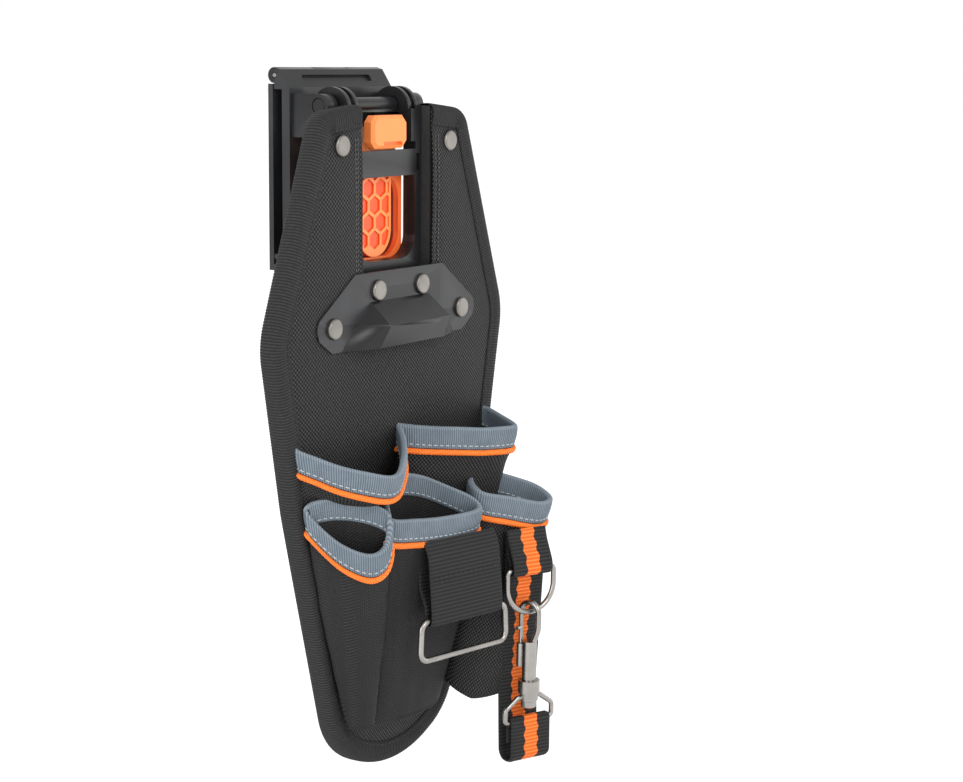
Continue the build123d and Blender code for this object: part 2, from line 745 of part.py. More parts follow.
bail_frame = webbing_frame(bail_place, bail_turn)
strap_frame = webbing_frame(strap_place, strap_turn)
bail_out = webbing_thick + running + bail_wire
hook_axis = strap_frame.origin - strap_frame.y_dir * ring_out
crook_z = strap_place[2] - crook_drop
cap_top = collar_bottom - 2 * running - boss_height
eye_z = crook_z + collar_bottom - running - boss_height / 2 - eye_drop


def bail_webbing(obstacles):
    """Broad black webbing folded over the bail's bar and sewn to the lower middle pocket."""
    loop = bail_wire + running
    outer = loop + webbing_thick
    with BuildPart() as web:
        with BuildSketch(section(bail_frame, bail_webbing_width / 2)):
            with BuildLine():
                Polyline(
                    (-6, 38), (bail_out - loop, 38), (bail_out + loop, 10), (bail_out + outer, 3),
                    (bail_out + outer, -outer + 2), (bail_out + outer - 2, -outer),
                    (bail_out - outer + 2, -outer), (bail_out - outer, -outer + 2),
                    (bail_out - outer, 8), (-6, 16), close=True,
                )
            make_face()
            with Locations((bail_out, 0)):
                Circle(loop, mode=Mode.SUBTRACT)
        extrude(amount=bail_webbing_width)
        for piece in obstacles:
            add(piece, mode=Mode.SUBTRACT)
    save(web.part, "bail_webbing")


def wire_bail():
    """Square wire bail that hangs in the broad webbing."""
    plane = facing(bail_frame, bail_out)
    with BuildPart() as bail:
        with BuildLine(plane) as path:
            FilletPolyline(
                (bail_half, 0), (-bail_half, 0), (-bail_half - 1, -bail_drop),
                (bail_half + 1, -bail_drop), close=True, radius=bail_corner,
            )
        with BuildSketch(Plane(origin=path.line @ 0, z_dir=path.line % 0)):
            Circle(bail_wire)
        sweep()
    save(bail.part, "wire_bail")


def ring_tab(obstacles):
    """Short striped tab folded over the ring's bar and sewn to the lower right pocket."""
    loop = ring_wire + running
    outer = loop + webbing_thick - 0.2
    with BuildPart() as tab:
        with BuildSketch(section(strap_frame, strap_width / 2)):
            with BuildLine():
                Polyline(
                    (webbing_thick + seam_gap, tab_height), (3 * webbing_thick, tab_height),
                    (ring_out + outer, 3), (ring_out + outer, -outer + 1.6),
                    (ring_out + outer - 1.6, -outer), (ring_out - outer + 1.6, -outer),
                    (ring_out - outer, -outer + 1.6), (webbing_thick + seam_gap, 8), close=True,
                )
            make_face()
            with Locations((ring_out, 0)):
                Circle(loop, mode=Mode.SUBTRACT)
        extrude(amount=strap_width)
        for piece in obstacles:
            add(piece, mode=Mode.SUBTRACT)
    save(tab.part, "ring_tab")


def d_ring():
    """Welded ring with a straight bar in the tab and a round bow below."""
    with BuildPart() as ring:
        with BuildLine(facing(strap_frame, ring_out)) as path:
            left = Line((0, 0), (-ring_radius + ring_corner, 0))
            upper = RadiusArc(left @ 1, (-ring_radius, -ring_corner), -ring_corner)
            side = Line(upper @ 1, (-ring_radius, -ring_straight))
            bow = ThreePointArc(
                side @ 1, (0, -ring_straight - ring_radius), (ring_radius, -ring_straight)
            )
            back = Line(bow @ 1, (ring_radius, -ring_corner))
            turn = RadiusArc(back @ 1, (ring_radius - ring_corner, 0), -ring_corner)
            Line(turn @ 1, (0, 0))
        with BuildSketch(Plane(origin=path.line @ 0, z_dir=path.line % 0)):
            Circle(ring_wire)
        sweep()
    save(ring.part, "d_ring")


def striped_strap(obstacles):
    """Long striped strap: sewn under the tab, folded at the bottom and round the swivel eye's bar."""
    height = strap_place[2]
    with BuildPart() as strap:
        with BuildSketch(section(strap_frame, strap_width / 2)):
            with BuildLine() as path:
                FilletPolyline(
                    (webbing_thick / 2, tab_height + 2), (webbing_thick / 2, 3), (-5.0, -63),
                    (-3.2, strap_loop_z - height), (ring_out + 2.35, strap_loop_z - height),
                    (ring_out + 2.35, eye_z - height + 2.35), (ring_out - 2.35, eye_z - height + 2.35),
                    (ring_out - 2.35, eye_z - height - 12),
                    radius=[60, 80, 5.5, 5.5, 2.3, 2.3],
                )
            trace(path.line, webbing_thick)
        extrude(amount=strap_width)
        for piece in obstacles:
            add(piece, mode=Mode.SUBTRACT)
    save(strap.part, "striped_strap")


hook_plane = Plane(origin=(hook_axis.X, hook_axis.Y, crook_z), x_dir=(0, -1, 0), z_dir=(-1, 0, 0))


def hook_level(height):
    """A level plane on the snap hook's own axis, looking up."""
    return Plane(origin=(hook_axis.X, hook_axis.Y, crook_z + height), x_dir=(1, 0, 0), z_dir=(0, 0, 1))


def snap_hook():
    """Cast hook: crook, tube, gate housing, collar, stem and clenched cap."""
    with BuildPart() as hook:
        with BuildLine(hook_plane) as path:
            FilletPolyline(
                (-crook_radius, -1), (-crook_radius, crook_radius), (crook_radius, crook_radius),
                (crook_radius, -9), (1, tube_top - 4), radius=[crook_radius - 0.01, crook_radius - 0.01, 14],
            )
        with BuildSketch(Plane(origin=path.line @ 0, z_dir=path.line % 0)):
            Circle(hook_wire)
        sweep()
        with BuildSketch(hook_level(tube_bottom)):
            Circle(tube_radius)
        extrude(amount=tube_top - tube_bottom)
        with BuildSketch(hook_level(gate_bottom)):
            with Locations((0, crook_radius)):
                Circle(gate_radius)
            with Locations((0, crook_radius / 2)):
                Rectangle(2 * hook_wire, crook_radius)
        extrude(amount=gate_top - gate_bottom)
        with BuildSketch(hook_level(collar_bottom)):
            Circle(collar_radius)
        extrude(amount=tube_bottom - collar_bottom)
        with BuildSketch(hook_level(cap_top - boss_height)):
            Circle(cap_radius)
        extrude(amount=boss_height)
        chamfer(hook.edges().filter_by(GeomType.CIRCLE).group_by(Axis.Z)[0], 0.8)
        with BuildSketch(hook_level(cap_top)):
            Circle(stem_radius)
        extrude(amount=collar_bottom - cap_top)
        with BuildSketch(hook_level(gate_bottom + 2)):
            with Locations((0, crook_radius)):
                Circle(plunger_radius + fit + 0.1)
        extrude(amount=gate_top - gate_bottom, mode=Mode.SUBTRACT)
    save(hook.part, "snap_hook")


def snap_plunger():
    """Sliding gate pin with its thumb stud."""
    with BuildPart() as pin:
        with BuildSketch(hook_level(-1 - running - plunger_length)):
            with Locations((0, crook_radius)):
                Circle(plunger_radius)
        extrude(amount=plunger_length)
        stud_plane = Plane(
            origin=hook_level(stud_level).origin + Vector(0, crook_radius, 0), x_dir=(0, 1, 0), z_dir=(-1, 0, 0)
        )
        with BuildSketch(stud_plane):
            Circle(stud_radius)
        extrude(amount=stud_length)
    save(pin.part, "snap_plunger")


def swivel_eye():
    """Swivel eye: boss on the hook's stem and a wire eye whose bar lies in the strap's end fold."""
    level = eye_z + eye_drop
    with BuildPart() as eye:
        with BuildLine(facing(strap_frame, ring_out, eye_z - strap_place[2])) as path:
            FilletPolyline(
                (eye_half, 0), (-eye_half, 0), (-eye_half, eye_drop - 6), (-7, eye_drop),
                (7, eye_drop), (eye_half, eye_drop - 6), close=True, radius=[2.2, 2.2, 3, 3, 3, 3],
            )
        with BuildSketch(Plane(origin=path.line @ 0, z_dir=path.line % 0)):
            Circle(eye_wire)
        sweep()
        with BuildSketch(Plane(origin=(hook_axis.X, hook_axis.Y, level - boss_height / 2))):
            Circle(boss_radius)
        extrude(amount=boss_height)
        with BuildSketch(Plane(origin=(hook_axis.X, hook_axis.Y, level - boss_height))):
            Circle(stem_radius + running)
        extrude(amount=2 * boss_height, mode=Mode.SUBTRACT)
    save(eye.part, "swivel_eye")


clip_front_plate()
clip_rear_leaf()
clip_pin()
hook_bar()
hanger_frame()
release_lever()
lever_pin()
panel_layer("panel_front_cover", 0, cover_thick, top_rivets + inner_rivets + outer_rivets)
panel_layer("panel_foam", cover_thick, foam_thick, top_rivets + inner_rivets + outer_rivets)
panel_layer("panel_back_cover", panel_back - cover_thick, cover_thick, top_rivets + inner_rivets + outer_rivets)
binding = panel_binding()
deflector_plate()
rivets("hanger_rivets", top_rivets, 0, flange_back + washer_height)
rivets("deflector_inner_rivets", inner_rivets, -deflector_thick, flange_back + washer_height)
rivets("deflector_outer_rivets", outer_rivets, -deflector_thick, panel_back + washer_height)
washers("hanger_washers", top_rivets + inner_rivets, flange_back)
washers("deflector_washers", outer_rivets, panel_back)
seats = pockets(binding)
bail_webbing(seats["lower_middle"])
wire_bail()
ring_tab(seats["lower_right"])
d_ring()
striped_strap(seats["lower_right"])
snap_hook()
snap_plunger()
swivel_eye()
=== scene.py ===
import math

import bpy
import numpy as np
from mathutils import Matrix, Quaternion, Vector
from mathutils.geometry import delaunay_2d_cdt


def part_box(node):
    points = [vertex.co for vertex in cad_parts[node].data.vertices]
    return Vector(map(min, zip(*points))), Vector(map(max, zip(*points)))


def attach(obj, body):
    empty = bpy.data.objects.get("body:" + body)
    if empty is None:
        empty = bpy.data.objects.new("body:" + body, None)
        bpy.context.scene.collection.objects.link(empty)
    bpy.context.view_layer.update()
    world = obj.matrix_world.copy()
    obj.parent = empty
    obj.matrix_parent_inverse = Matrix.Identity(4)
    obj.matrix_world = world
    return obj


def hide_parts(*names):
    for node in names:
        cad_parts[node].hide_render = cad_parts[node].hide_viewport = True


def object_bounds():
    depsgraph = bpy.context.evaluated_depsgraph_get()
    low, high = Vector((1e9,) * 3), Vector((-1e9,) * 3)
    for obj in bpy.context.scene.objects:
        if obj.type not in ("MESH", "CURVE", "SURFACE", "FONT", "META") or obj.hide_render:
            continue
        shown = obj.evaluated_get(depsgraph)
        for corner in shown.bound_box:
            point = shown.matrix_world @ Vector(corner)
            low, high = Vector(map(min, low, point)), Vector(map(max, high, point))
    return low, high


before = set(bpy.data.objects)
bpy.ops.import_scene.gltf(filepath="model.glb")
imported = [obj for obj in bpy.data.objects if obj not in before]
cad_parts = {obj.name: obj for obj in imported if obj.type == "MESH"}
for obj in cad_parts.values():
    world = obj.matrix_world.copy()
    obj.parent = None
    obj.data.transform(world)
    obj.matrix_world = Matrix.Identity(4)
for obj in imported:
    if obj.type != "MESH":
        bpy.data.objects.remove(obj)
cad_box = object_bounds()

# ---- datum: X = 0 on the centre line, Y = 0 on the panel's front face, Z = 0 on the top rivets -------
MM = 0.001
panel_front_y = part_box("panel_front_cover")[0].y
panel_back_y = (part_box("panel_back_cover")[1].y - panel_front_y) / MM
rivet_low, rivet_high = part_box("hanger_rivets")
datum = np.array([0.0, panel_front_y, (rivet_low.z + rivet_high.z) / 2])

# ---- sizes, in millimetres from that datum -----------------------------------------------------------
outline_corners = [(33.0, 18.5), (61.0, 15.5), (99.5, -95.0), (84.0, -182.0), (50.0, -316.0), (0.0, -338.0)]
outline_radii = [8, 13, 40, 110, 40, 70]
rivet_places = [(46.5, 0.0), (19.0, -74.5), (55.5, -90.7)]
notch_half = 30.6
notch_bottom = -66.6
binding_width = 10.5
binding_rib = 1.5
cloth_thick = 1.2
hem_height = 11.6
hem_thick = 0.9
hem_rib = 1.25
piping_size = 3.3
webbing_thick = 1.5
webbing_rib = 2.0
bail_turn, bail_place = 13.0, (6.0, -37.6, -245.0)
bail_wire, bail_webbing_width = 1.6, 50.0
strap_turn, strap_place = 24.0, (53.2, -47.3, -229.0)
strap_width, strap_loop_z, tab_height = 25.0, -337.0, 19.0
ring_wire, ring_out = 1.5, 6.8
eye_z = -314.5
ribs_behind_button = 10.4
plastic_edge, lever_edge = 0.45, 0.3

# ---- how finely the meshes are made ----------------------------------------------------------------
face_grid = 3.2
cloth_columns = 96
rough_columns = 64

pocket_plans = {
    "lower_left": dict(
        rim=[(-78, -3), (-72, -15), (-58, -27), (-46, -30), (-40, -24), (-60, -10)],
        floor=[(-48, -3), (-49, -8), (-45, -14), (-39, -15), (-33, -9), (-38, -2)],
        mouth=[(-79, -1, -172), (-41, -25, -187), (-67, -16, -195)], floor_z=-300.0, cloth="herringbone"),
    "lower_middle": dict(
        rim=[(-20, -9), (-38, -24), (-20, -31), (8, -37), (27, -38), (24, -29), (4, -13)],
        floor=[(-29, -3), (-32, -10), (-18, -16), (2, -18), (19, -15), (22, -8), (0, -3)],
        mouth=[(1, -8, -170), (-38, -24, -188), (27, -38, -194)], floor_z=-302.0, cloth="herringbone"),
    "lower_right": dict(
        rim=[(38, -20), (31, -33), (48, -43.5), (66, -52), (80, -49), (79, -34), (58, -20)],
        floor=[(32, -4), (26, -18), (29, -32), (44, -38), (58, -34), (60, -18), (46, -3)],
        mouth=[(30, -35, -186), (68, -52, -196), (72, -25, -184)], floor_z=-300.0, cloth="ballistic", puff=-0.9),
    "upper_left": dict(
        rim=[(-81, 2), (-77, -11), (-63, -27), (-44, -35), (-25, -25), (-4, -7), (-2, 3), (-40, 4)],
        floor=[(-56, 3), (-54, -1), (-48, -3), (-42, -5), (-28, -6), (-6, -4), (-2, 3), (-40, 4)],
        mouth=[(-84, 0, -147), (-46, -33, -164), (-1, -6, -150)], floor_z=-250.0, cloth="ballistic", tuck=0.7),
    "upper_right": dict(
        rim=[(2, 3), (4, -7), (20, -19), (42, -31), (62, -36), (76, -18), (80, 3), (40, 4)],
        floor=[(2, 3), (6, -6), (24, -10), (42, -11), (56, -9), (68, -5), (72, 3), (40, 5)],
        mouth=[(1, -6, -148), (60, -33, -154), (76, 0, -150)], floor_z=-262.0, cloth="ballistic", tuck=0.1),
}


# ==== shader maths ====================================================================================
class Value:
    """A number that varies over a surface; the operators add Math nodes."""

    def __init__(self, shade, socket):
        self.shade, self.socket = shade, socket

    def math(self, operation, *others):
        inputs = dict(enumerate([self, *others]))
        return self.shade.node("ShaderNodeMath", dict(operation=operation), inputs)

    def __add__(self, other): return self.math("ADD", other)
    def __radd__(self, other): return self.math("ADD", other)
    def __sub__(self, other): return self.math("SUBTRACT", other)
    def __rsub__(self, other): return Value.constant(self.shade, other).math("SUBTRACT", self)
    def __mul__(self, other): return self.math("MULTIPLY", other)
    def __truediv__(self, other): return self.math("DIVIDE", other)

    @staticmethod
    def constant(shade, number):
        return shade.node("ShaderNodeMath", dict(operation="ADD"), {0: number, 1: 0.0})

    def sin(self): return self.math("SINE")
    def cos(self): return self.math("COSINE")
    def abs(self): return self.math("ABSOLUTE")
    def floor(self): return self.math("FLOOR")
    def mod(self, size): return self.math("FLOORED_MODULO", size)

    def step(self, low, high):
        """0 below low, 1 above high and smooth between."""
        return self.shade.node(
            "ShaderNodeMapRange", dict(interpolation_type="SMOOTHSTEP"),
            {"Value": self, "From Min": low, "From Max": high},
        )


class Shade:
    """One material: a Principled surface and the nodes that feed it."""

    def __init__(self, name, **fixed):
        self.material = bpy.data.materials.new(name)
        self.material.use_nodes = True
        self.tree = self.material.node_tree
        self.surface = self.tree.nodes["Principled BSDF"]
        for socket, value in fixed.items():
            self.surface.inputs[socket.replace("_", " ")].default_value = value

    def link(self, value, socket):
        if isinstance(value, Value):
            self.tree.links.new(value.socket, socket)
        else:
            socket.default_value = value

    def node(self, kind, settings=None, inputs=None, output=0):
        made = self.tree.nodes.new(kind)
        for key, value in (settings or {}).items():
            setattr(made, key, value)
        for key, value in (inputs or {}).items():
            self.link(value, made.inputs[key])
        return Value(self, made.outputs[output])

    def cloth(self):
        """Distance along and across the cloth, in millimetres."""
        place = self.node("ShaderNodeUVMap", dict(uv_map="cloth"))
        split = self.tree.nodes.new("ShaderNodeSeparateXYZ")
        self.tree.links.new(place.socket, split.inputs[0])
        return Value(self, split.outputs[0]), Value(self, split.outputs[1])

    def depth(self):
        """The object's Y coordinate in millimetres."""
        vector = self.node("ShaderNodeTexCoord", output=3)
        split = self.tree.nodes.new("ShaderNodeSeparateXYZ")
        self.tree.links.new(vector.socket, split.inputs[0])
        return Value(self, split.outputs[1]) * 1000.0

    def noise(self, scale, detail=3.0, stretch=None, rough=0.55):
        vector = self.node("ShaderNodeTexCoord", output=3)
        if stretch:
            vector = self.node("ShaderNodeVectorMath", dict(operation="MULTIPLY"), {0: vector, 1: stretch})
        return self.node(
            "ShaderNodeTexNoise", {}, {"Vector": vector, "Scale": scale, "Detail": detail, "Roughness": rough}
        )

    def blend(self, factor, first, second):
        """A colour between two colours; each is a tuple or another blend."""
        inputs = {0: factor, 6: (*first, 1) if isinstance(first, tuple) else first,
                  7: (*second, 1) if isinstance(second, tuple) else second}
        return self.node("ShaderNodeMix", dict(data_type="RGBA"), inputs, output=2)

    def finish(self, colour=None, rough=None, height=None, depth=0.2, strength=1.0):
        """Feeds the surface; height is 0 to 1 and depth is its size in millimetres."""
        if colour is not None:
            self.link(colour, self.surface.inputs["Base Color"])
        if rough is not None:
            self.link(rough, self.surface.inputs["Roughness"])
        if height is not None:
            bump = self.node(
                "ShaderNodeBump", {}, {"Height": height, "Distance": depth * MM, "Strength": strength}
            )
            self.link(bump, self.surface.inputs["Normal"])
        return self.material


TURN = 2 * math.pi


def ballistic_nylon():
    """Coarse charcoal weave: holes in staggered rows between thick, slightly shiny yarns, with a painted highlight
    on the yarns and painted shade in the holes.
    """
    shade = Shade("ballistic_nylon", Specular_IOR_Level=0.3)
    along, across = shade.cloth()
    pitch = 2.35
    drift = shade.noise(40.0, 2.0) * 0.5
    a = (along * (TURN / pitch) + drift).cos()
    b = (across * (TURN / pitch) + drift).cos()
    lattice = a * b
    hole = lattice.step(0.15, 0.85)
    yarn = (lattice * -1.0).step(-0.1, 0.9)
    fibre = shade.noise(900.0, 2.0)
    patch = shade.noise(28.0, 3.0)
    body = shade.blend(patch, (0.0065, 0.0065, 0.0068), (0.013, 0.013, 0.0132))
    # painted highlight: the yarn crowns are given a lighter, lit colour
    lit = shade.blend(yarn * fibre, body, (0.085, 0.084, 0.081))
    # painted shade: the holes are darkened
    colour = shade.blend(hole * 0.9, lit, (0.0012, 0.0012, 0.0013))
    return shade.finish(colour, 0.62 + hole * 0.25, yarn - hole, depth=0.32)


def herringbone_nylon():
    """Finer twill with ribs that meet in upright chevrons."""
    shade = Shade("herringbone_nylon", Specular_IOR_Level=0.3)
    along, across = shade.cloth()
    chevron = ((along.mod(17.0)) - 8.5).abs()
    rib = ((across + chevron * 0.8) * (TURN / 1.7)).sin() * 0.5 + 0.5
    cross = ((along * (TURN / 1.15)).sin() * 0.5 + 0.5) * rib
    patch = shade.noise(28.0, 3.0)
    fibre = shade.noise(800.0, 2.0)
    body = shade.blend(patch, (0.0055, 0.0055, 0.006), (0.012, 0.012, 0.0122))
    # painted highlight on the rib crowns
    lit = shade.blend(cross * fibre * 0.9, body, (0.065, 0.065, 0.064))
    # painted shade in the grooves between the ribs
    colour = shade.blend((1.0 - rib) * 0.65, lit, (0.002, 0.002, 0.0021))
    return shade.finish(colour, 0.66 + patch * 0.12, cross * 0.7 + rib * 0.3, depth=0.26)


def binding_tape():
    """Black ribbed edge tape; the ribs are in the mesh, and the threads and a painted highlight and painted shade
    that follow the ribs are here.
    """
    shade = Shade("binding_tape", Specular_IOR_Level=0.3)
    along, across = shade.cloth()
    rib = (along * (TURN / binding_rib)).cos() * 0.5 + 0.5
    thread = (across * (TURN / 0.7)).sin() * 0.5 + 0.5
    patch = shade.noise(35.0, 3.0)
    fibre = shade.noise(700.0, 2.0)
    body = shade.blend(patch, (0.0055, 0.0055, 0.006), (0.012, 0.012, 0.0125))
    # painted highlight on the rib crowns
    lit = shade.blend(rib * fibre * 0.55, body, (0.075, 0.075, 0.074))
    # painted shade in the grooves between the ribs
    colour = shade.blend((1.0 - rib) * 0.5, lit, (0.0018, 0.0018, 0.0018))
    return shade.finish(colour, 0.68 + patch * 0.1, thread * 0.4 + fibre * 0.6, depth=0.12)


def hem_tape():
    """Slate grosgrain with fine upright ribs, a painted highlight on the rib crowns and along its folded top edge,
    and painted shade between the ribs.
    """
    shade = Shade("hem_tape", Specular_IOR_Level=0.3, Sheen_Weight=0.05)
    along, across = shade.cloth()
    rib = (along * (TURN / hem_rib)).cos() * 0.5 + 0.5
    uneven = shade.noise(160.0, 2.0)
    thread = (across * (TURN / 0.55)).sin() * 0.5 + 0.5
    patch = shade.noise(45.0, 3.0)
    body = shade.blend(patch, (0.085, 0.112, 0.142), (0.132, 0.165, 0.196))
    # painted highlight on the rib crowns
    lit = shade.blend(rib * uneven * 0.8, body, (0.27, 0.32, 0.36))
    # painted highlight: paler along the folded top edge
    lit_fold = shade.blend((across.abs() * -1.0).step(-1.4, -0.2) * 0.35, lit, (0.30, 0.35, 0.39))
    # painted shade between the ribs
    colour = shade.blend((1.0 - rib) * 0.42, lit_fold, (0.032, 0.044, 0.058))
    return shade.finish(colour, 0.70 + uneven * 0.1, rib * 0.5 + thread * 0.25 + uneven * 0.25, depth=0.16)


def orange_piping():
    """Bright orange cord with a slanting twill."""
    shade = Shade("orange_piping", Specular_IOR_Level=0.3)
    along, across = shade.cloth()
    twill = ((along * 0.8 + across) * (TURN / 1.5)).sin() * 0.5 + 0.5
    fibre = shade.noise(600.0, 2.0)
    body = shade.blend(fibre, (0.90, 0.130, 0.008), (1.0, 0.215, 0.018))
    # painted highlight on the twill crowns
    lit = shade.blend(twill * 0.45, body, (1.0, 0.36, 0.075))
    # painted shade in the twill grooves
    colour = shade.blend((1.0 - twill) * 0.35, lit, (0.50, 0.050, 0.004))
    return shade.finish(colour, 0.62 + fibre * 0.1, twill, depth=0.25)


def webbing(name, striped):
    """Heavy ribbed webbing; the striped kind has a wavering orange line along its middle."""
    shade = Shade(name, Specular_IOR_Level=0.3)
    along, across = shade.cloth()
    weft = (along * (TURN / webbing_rib)).cos() * 0.5 + 0.5
    warp = (across * (TURN / 1.1) + (along / webbing_rib).floor() * math.pi).cos() * 0.5 + 0.5
    knot = weft * warp
    fibre = shade.noise(700.0, 2.0)
    body = shade.blend(fibre, (0.0055, 0.0055, 0.006), (0.014, 0.014, 0.0145))
    # painted highlight on the knots of the weave
    lit = shade.blend(knot * 0.55, body, (0.06, 0.06, 0.058))
    # painted shade in the weft grooves
    colour = shade.blend((1.0 - weft) * 0.6, lit, (0.0015, 0.0015, 0.0015))
    if striped:
        sway = (along * (TURN / 7.0)).sin() * 0.55
        inside = 1.0 - ((across - sway).abs()).step(3.9, 4.4)
        # painted highlight: the stripe's knots are given a paler orange
        orange = shade.blend(knot, (0.80, 0.130, 0.012), (1.0, 0.33, 0.06))
        shaded = shade.blend((1.0 - weft) * 0.5, orange, (0.42, 0.045, 0.004))
        colour = shade.blend(inside, colour, shaded)
    return shade.finish(colour, 0.66 + fibre * 0.12, knot * 0.7 + fibre * 0.3, depth=0.3)


def thread(name, dark, light):
    """Twisted sewing thread."""
    shade = Shade(name, Specular_IOR_Level=0.3)
    along, across = shade.cloth()
    twist = ((along + across * 0.6) * (TURN / 0.6)).sin() * 0.5 + 0.5
    # painted highlight and painted shade: lighter on the twist's crowns, darker between them
    return shade.finish(shade.blend(twist, dark, light), 0.6 + twist * 0.1, twist, depth=0.08)


def moulded_black():
    """Satin black nylon with a fine grain and a painted highlight along its sharp edges."""
    shade = Shade("moulded_black", Specular_IOR_Level=0.3)
    grain = shade.noise(1500.0, 2.0)
    cloud = shade.noise(30.0, 4.0)
    # painted highlight: sharp edges, found by pointiness, are made paler
    lit_edges = shade.node("ShaderNodeNewGeometry", output=7).step(0.51, 0.60)
    body = shade.blend(cloud, (0.0065, 0.0068, 0.0075), (0.014, 0.0143, 0.0155))
    colour = shade.blend(lit_edges * cloud * 0.5, body, (0.07, 0.072, 0.076))
    return shade.finish(colour, 0.24 + cloud * 0.16, grain, depth=0.03, strength=0.5)


def moulded_orange():
    """Satin orange with painted light set by depth: a painted highlight on the raised ribs and the button's face,
    painted shade in the cells and at the back.
    """
    shade = Shade("moulded_orange", Specular_IOR_Level=0.5)
    y = shade.depth()
    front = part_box("release_lever")[0].y / MM
    # painted highlight: the button's face, nearest the front
    button = 1.0 - (y - front).step(0.2, 3.0)
    face_y = front + ribs_behind_button
    # painted highlight: the raised rib tops
    rib = 1.0 - (y - face_y).step(0.1, 0.8)
    # painted shade: everything well behind the rib faces
    rear = (y - face_y).step(3.4, 3.8)
    cloud = shade.noise(60.0, 3.0)
    # painted shade: the darker orange of the cells, varied at random
    shaded_orange = shade.blend(cloud, (0.80, 0.075, 0.012), (0.90, 0.105, 0.018))
    ribs = shade.blend(rib, shaded_orange, (1.0, 0.27, 0.065))
    lower = shade.blend(button, ribs, (1.0, 0.25, 0.05))
    colour = shade.blend(rear, lower, (0.20, 0.022, 0.010))
    grain = shade.noise(1500.0, 2.0)
    return shade.finish(colour, 0.34 + cloud * 0.14, grain, depth=0.03, strength=0.5)


def nickel(name, light, dark, rough):
    """Plated steel with fine draw marks and slightly darker smudges."""
    shade = Shade(name, Metallic=1.0)
    cloud = shade.noise(90.0, 4.0)
    marks = shade.noise(500.0, 3.0, stretch=(1.0, 1.0, 0.15))
    colour = shade.blend(cloud, light, dark)
    return shade.finish(colour, rough + cloud * 0.16, marks, depth=0.03, strength=0.6)


def closed_foam():
    shade = Shade("closed_foam")
    cells = shade.noise(500.0, 2.0)
    return shade.finish(shade.blend(cells, (0.01, 0.01, 0.01), (0.03, 0.03, 0.03)), 0.85 + cells * 0.1, cells)


materials = {
    "ballistic": ballistic_nylon(),
    "herringbone": herringbone_nylon(),
    "binding": binding_tape(),
    "hem": hem_tape(),
    "piping": orange_piping(),
    "black_webbing": webbing("black_webbing", False),
    "striped_webbing": webbing("striped_webbing", True),
    "pale_thread": thread("pale_thread", (0.30, 0.34, 0.37), (0.55, 0.60, 0.63)),
    "dark_thread": thread("dark_thread", (0.010, 0.010, 0.010), (0.045, 0.045, 0.045)),
    "grey_thread": thread("grey_thread", (0.035, 0.035, 0.035), (0.12, 0.12, 0.118)),
    "plastic": moulded_black(),
    "orange": moulded_orange(),
    "steel": nickel("satin_nickel", (0.40, 0.385, 0.365), (0.24, 0.23, 0.215), 0.20),
    "rivet": nickel("rivet_nickel", (0.27, 0.255, 0.235), (0.14, 0.13, 0.12), 0.30),
    "foam": closed_foam(),
}


# ==== making meshes ===================================================================================
def grid_piece(name, points, cloth, material, body="pouch", wrap_along=False, wrap_across=False):
    """A mesh from rows and columns of points; cloth gives each corner's place on the flat cloth."""
    rows, columns = points.shape[:2]
    mesh = bpy.data.meshes.new(name)
    r = np.arange(rows if wrap_across else rows - 1)
    c = np.arange(columns if wrap_along else columns - 1)
    r, c = [a.ravel() for a in np.meshgrid(r, c, indexing="ij")]
    r2, c2 = (r + 1) % rows, (c + 1) % columns
    faces = np.stack([r * columns + c, r * columns + c2, r2 * columns + c2, r2 * columns + c], 1)
    mesh.from_pydata((points.reshape(-1, 3) * MM + datum).tolist(), [], faces.tolist())
    flat = np.stack([cloth[r, c], cloth[r, c + 1], cloth[r + 1, c + 1], cloth[r + 1, c]], 1)
    mesh.uv_layers.new(name="cloth").uv.foreach_set("vector", flat.astype(np.float32).ravel())
    return finished(name, mesh, material, body)


def finished(name, mesh, material, body):
    mesh.materials.append(materials[material])
    mesh.shade_smooth()
    mesh.validate()
    piece = bpy.data.objects.new(name, mesh)
    bpy.context.scene.collection.objects.link(piece)
    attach(piece, body)
    return piece


def joined(name, parts, material, body="pouch"):
    """One mesh from several (points, cloth) grids that are closed across."""
    vertices, faces, flat, start = [], [], [], 0
    for points, cloth in parts:
        rows, columns = points.shape[:2]
        r, c = [a.ravel() for a in np.meshgrid(np.arange(rows - 1), np.arange(columns), indexing="ij")]
        c2 = (c + 1) % columns
        quads = np.stack([r * columns + c, r * columns + c2, (r + 1) * columns + c2, (r + 1) * columns + c], 1)
        faces.append(quads + start)
        flat.append(np.stack([cloth[r, c], cloth[r, c + 1], cloth[r + 1, c + 1], cloth[r + 1, c]], 1).reshape(-1, 2))
        vertices.append(points.reshape(-1, 3))
        start += rows * columns
    mesh = bpy.data.meshes.new(name)
    mesh.from_pydata((np.concatenate(vertices) * MM + datum).tolist(), [], np.concatenate(faces).tolist())
    mesh.uv_layers.new(name="cloth").uv.foreach_set("vector", np.concatenate(flat).astype(np.float32).ravel())
    return finished(name, mesh, material, body)


def swell(a, b, size, seed=0.0):
    """Smooth unevenness between -1 and 1 over a surface with coordinates a and b."""
    k = TURN / size
    return (
        np.sin(k * a * 0.83 + 1.7 * seed + 0.9 * np.sin(k * b * 0.61 + seed))
        + np.sin(k * b * 0.94 + 2.9 * seed + 1.1 * np.sin(k * a * 0.53 - seed))
        + np.sin(k * (a + b) * 0.47 + 0.7 * seed)
    ) / 3


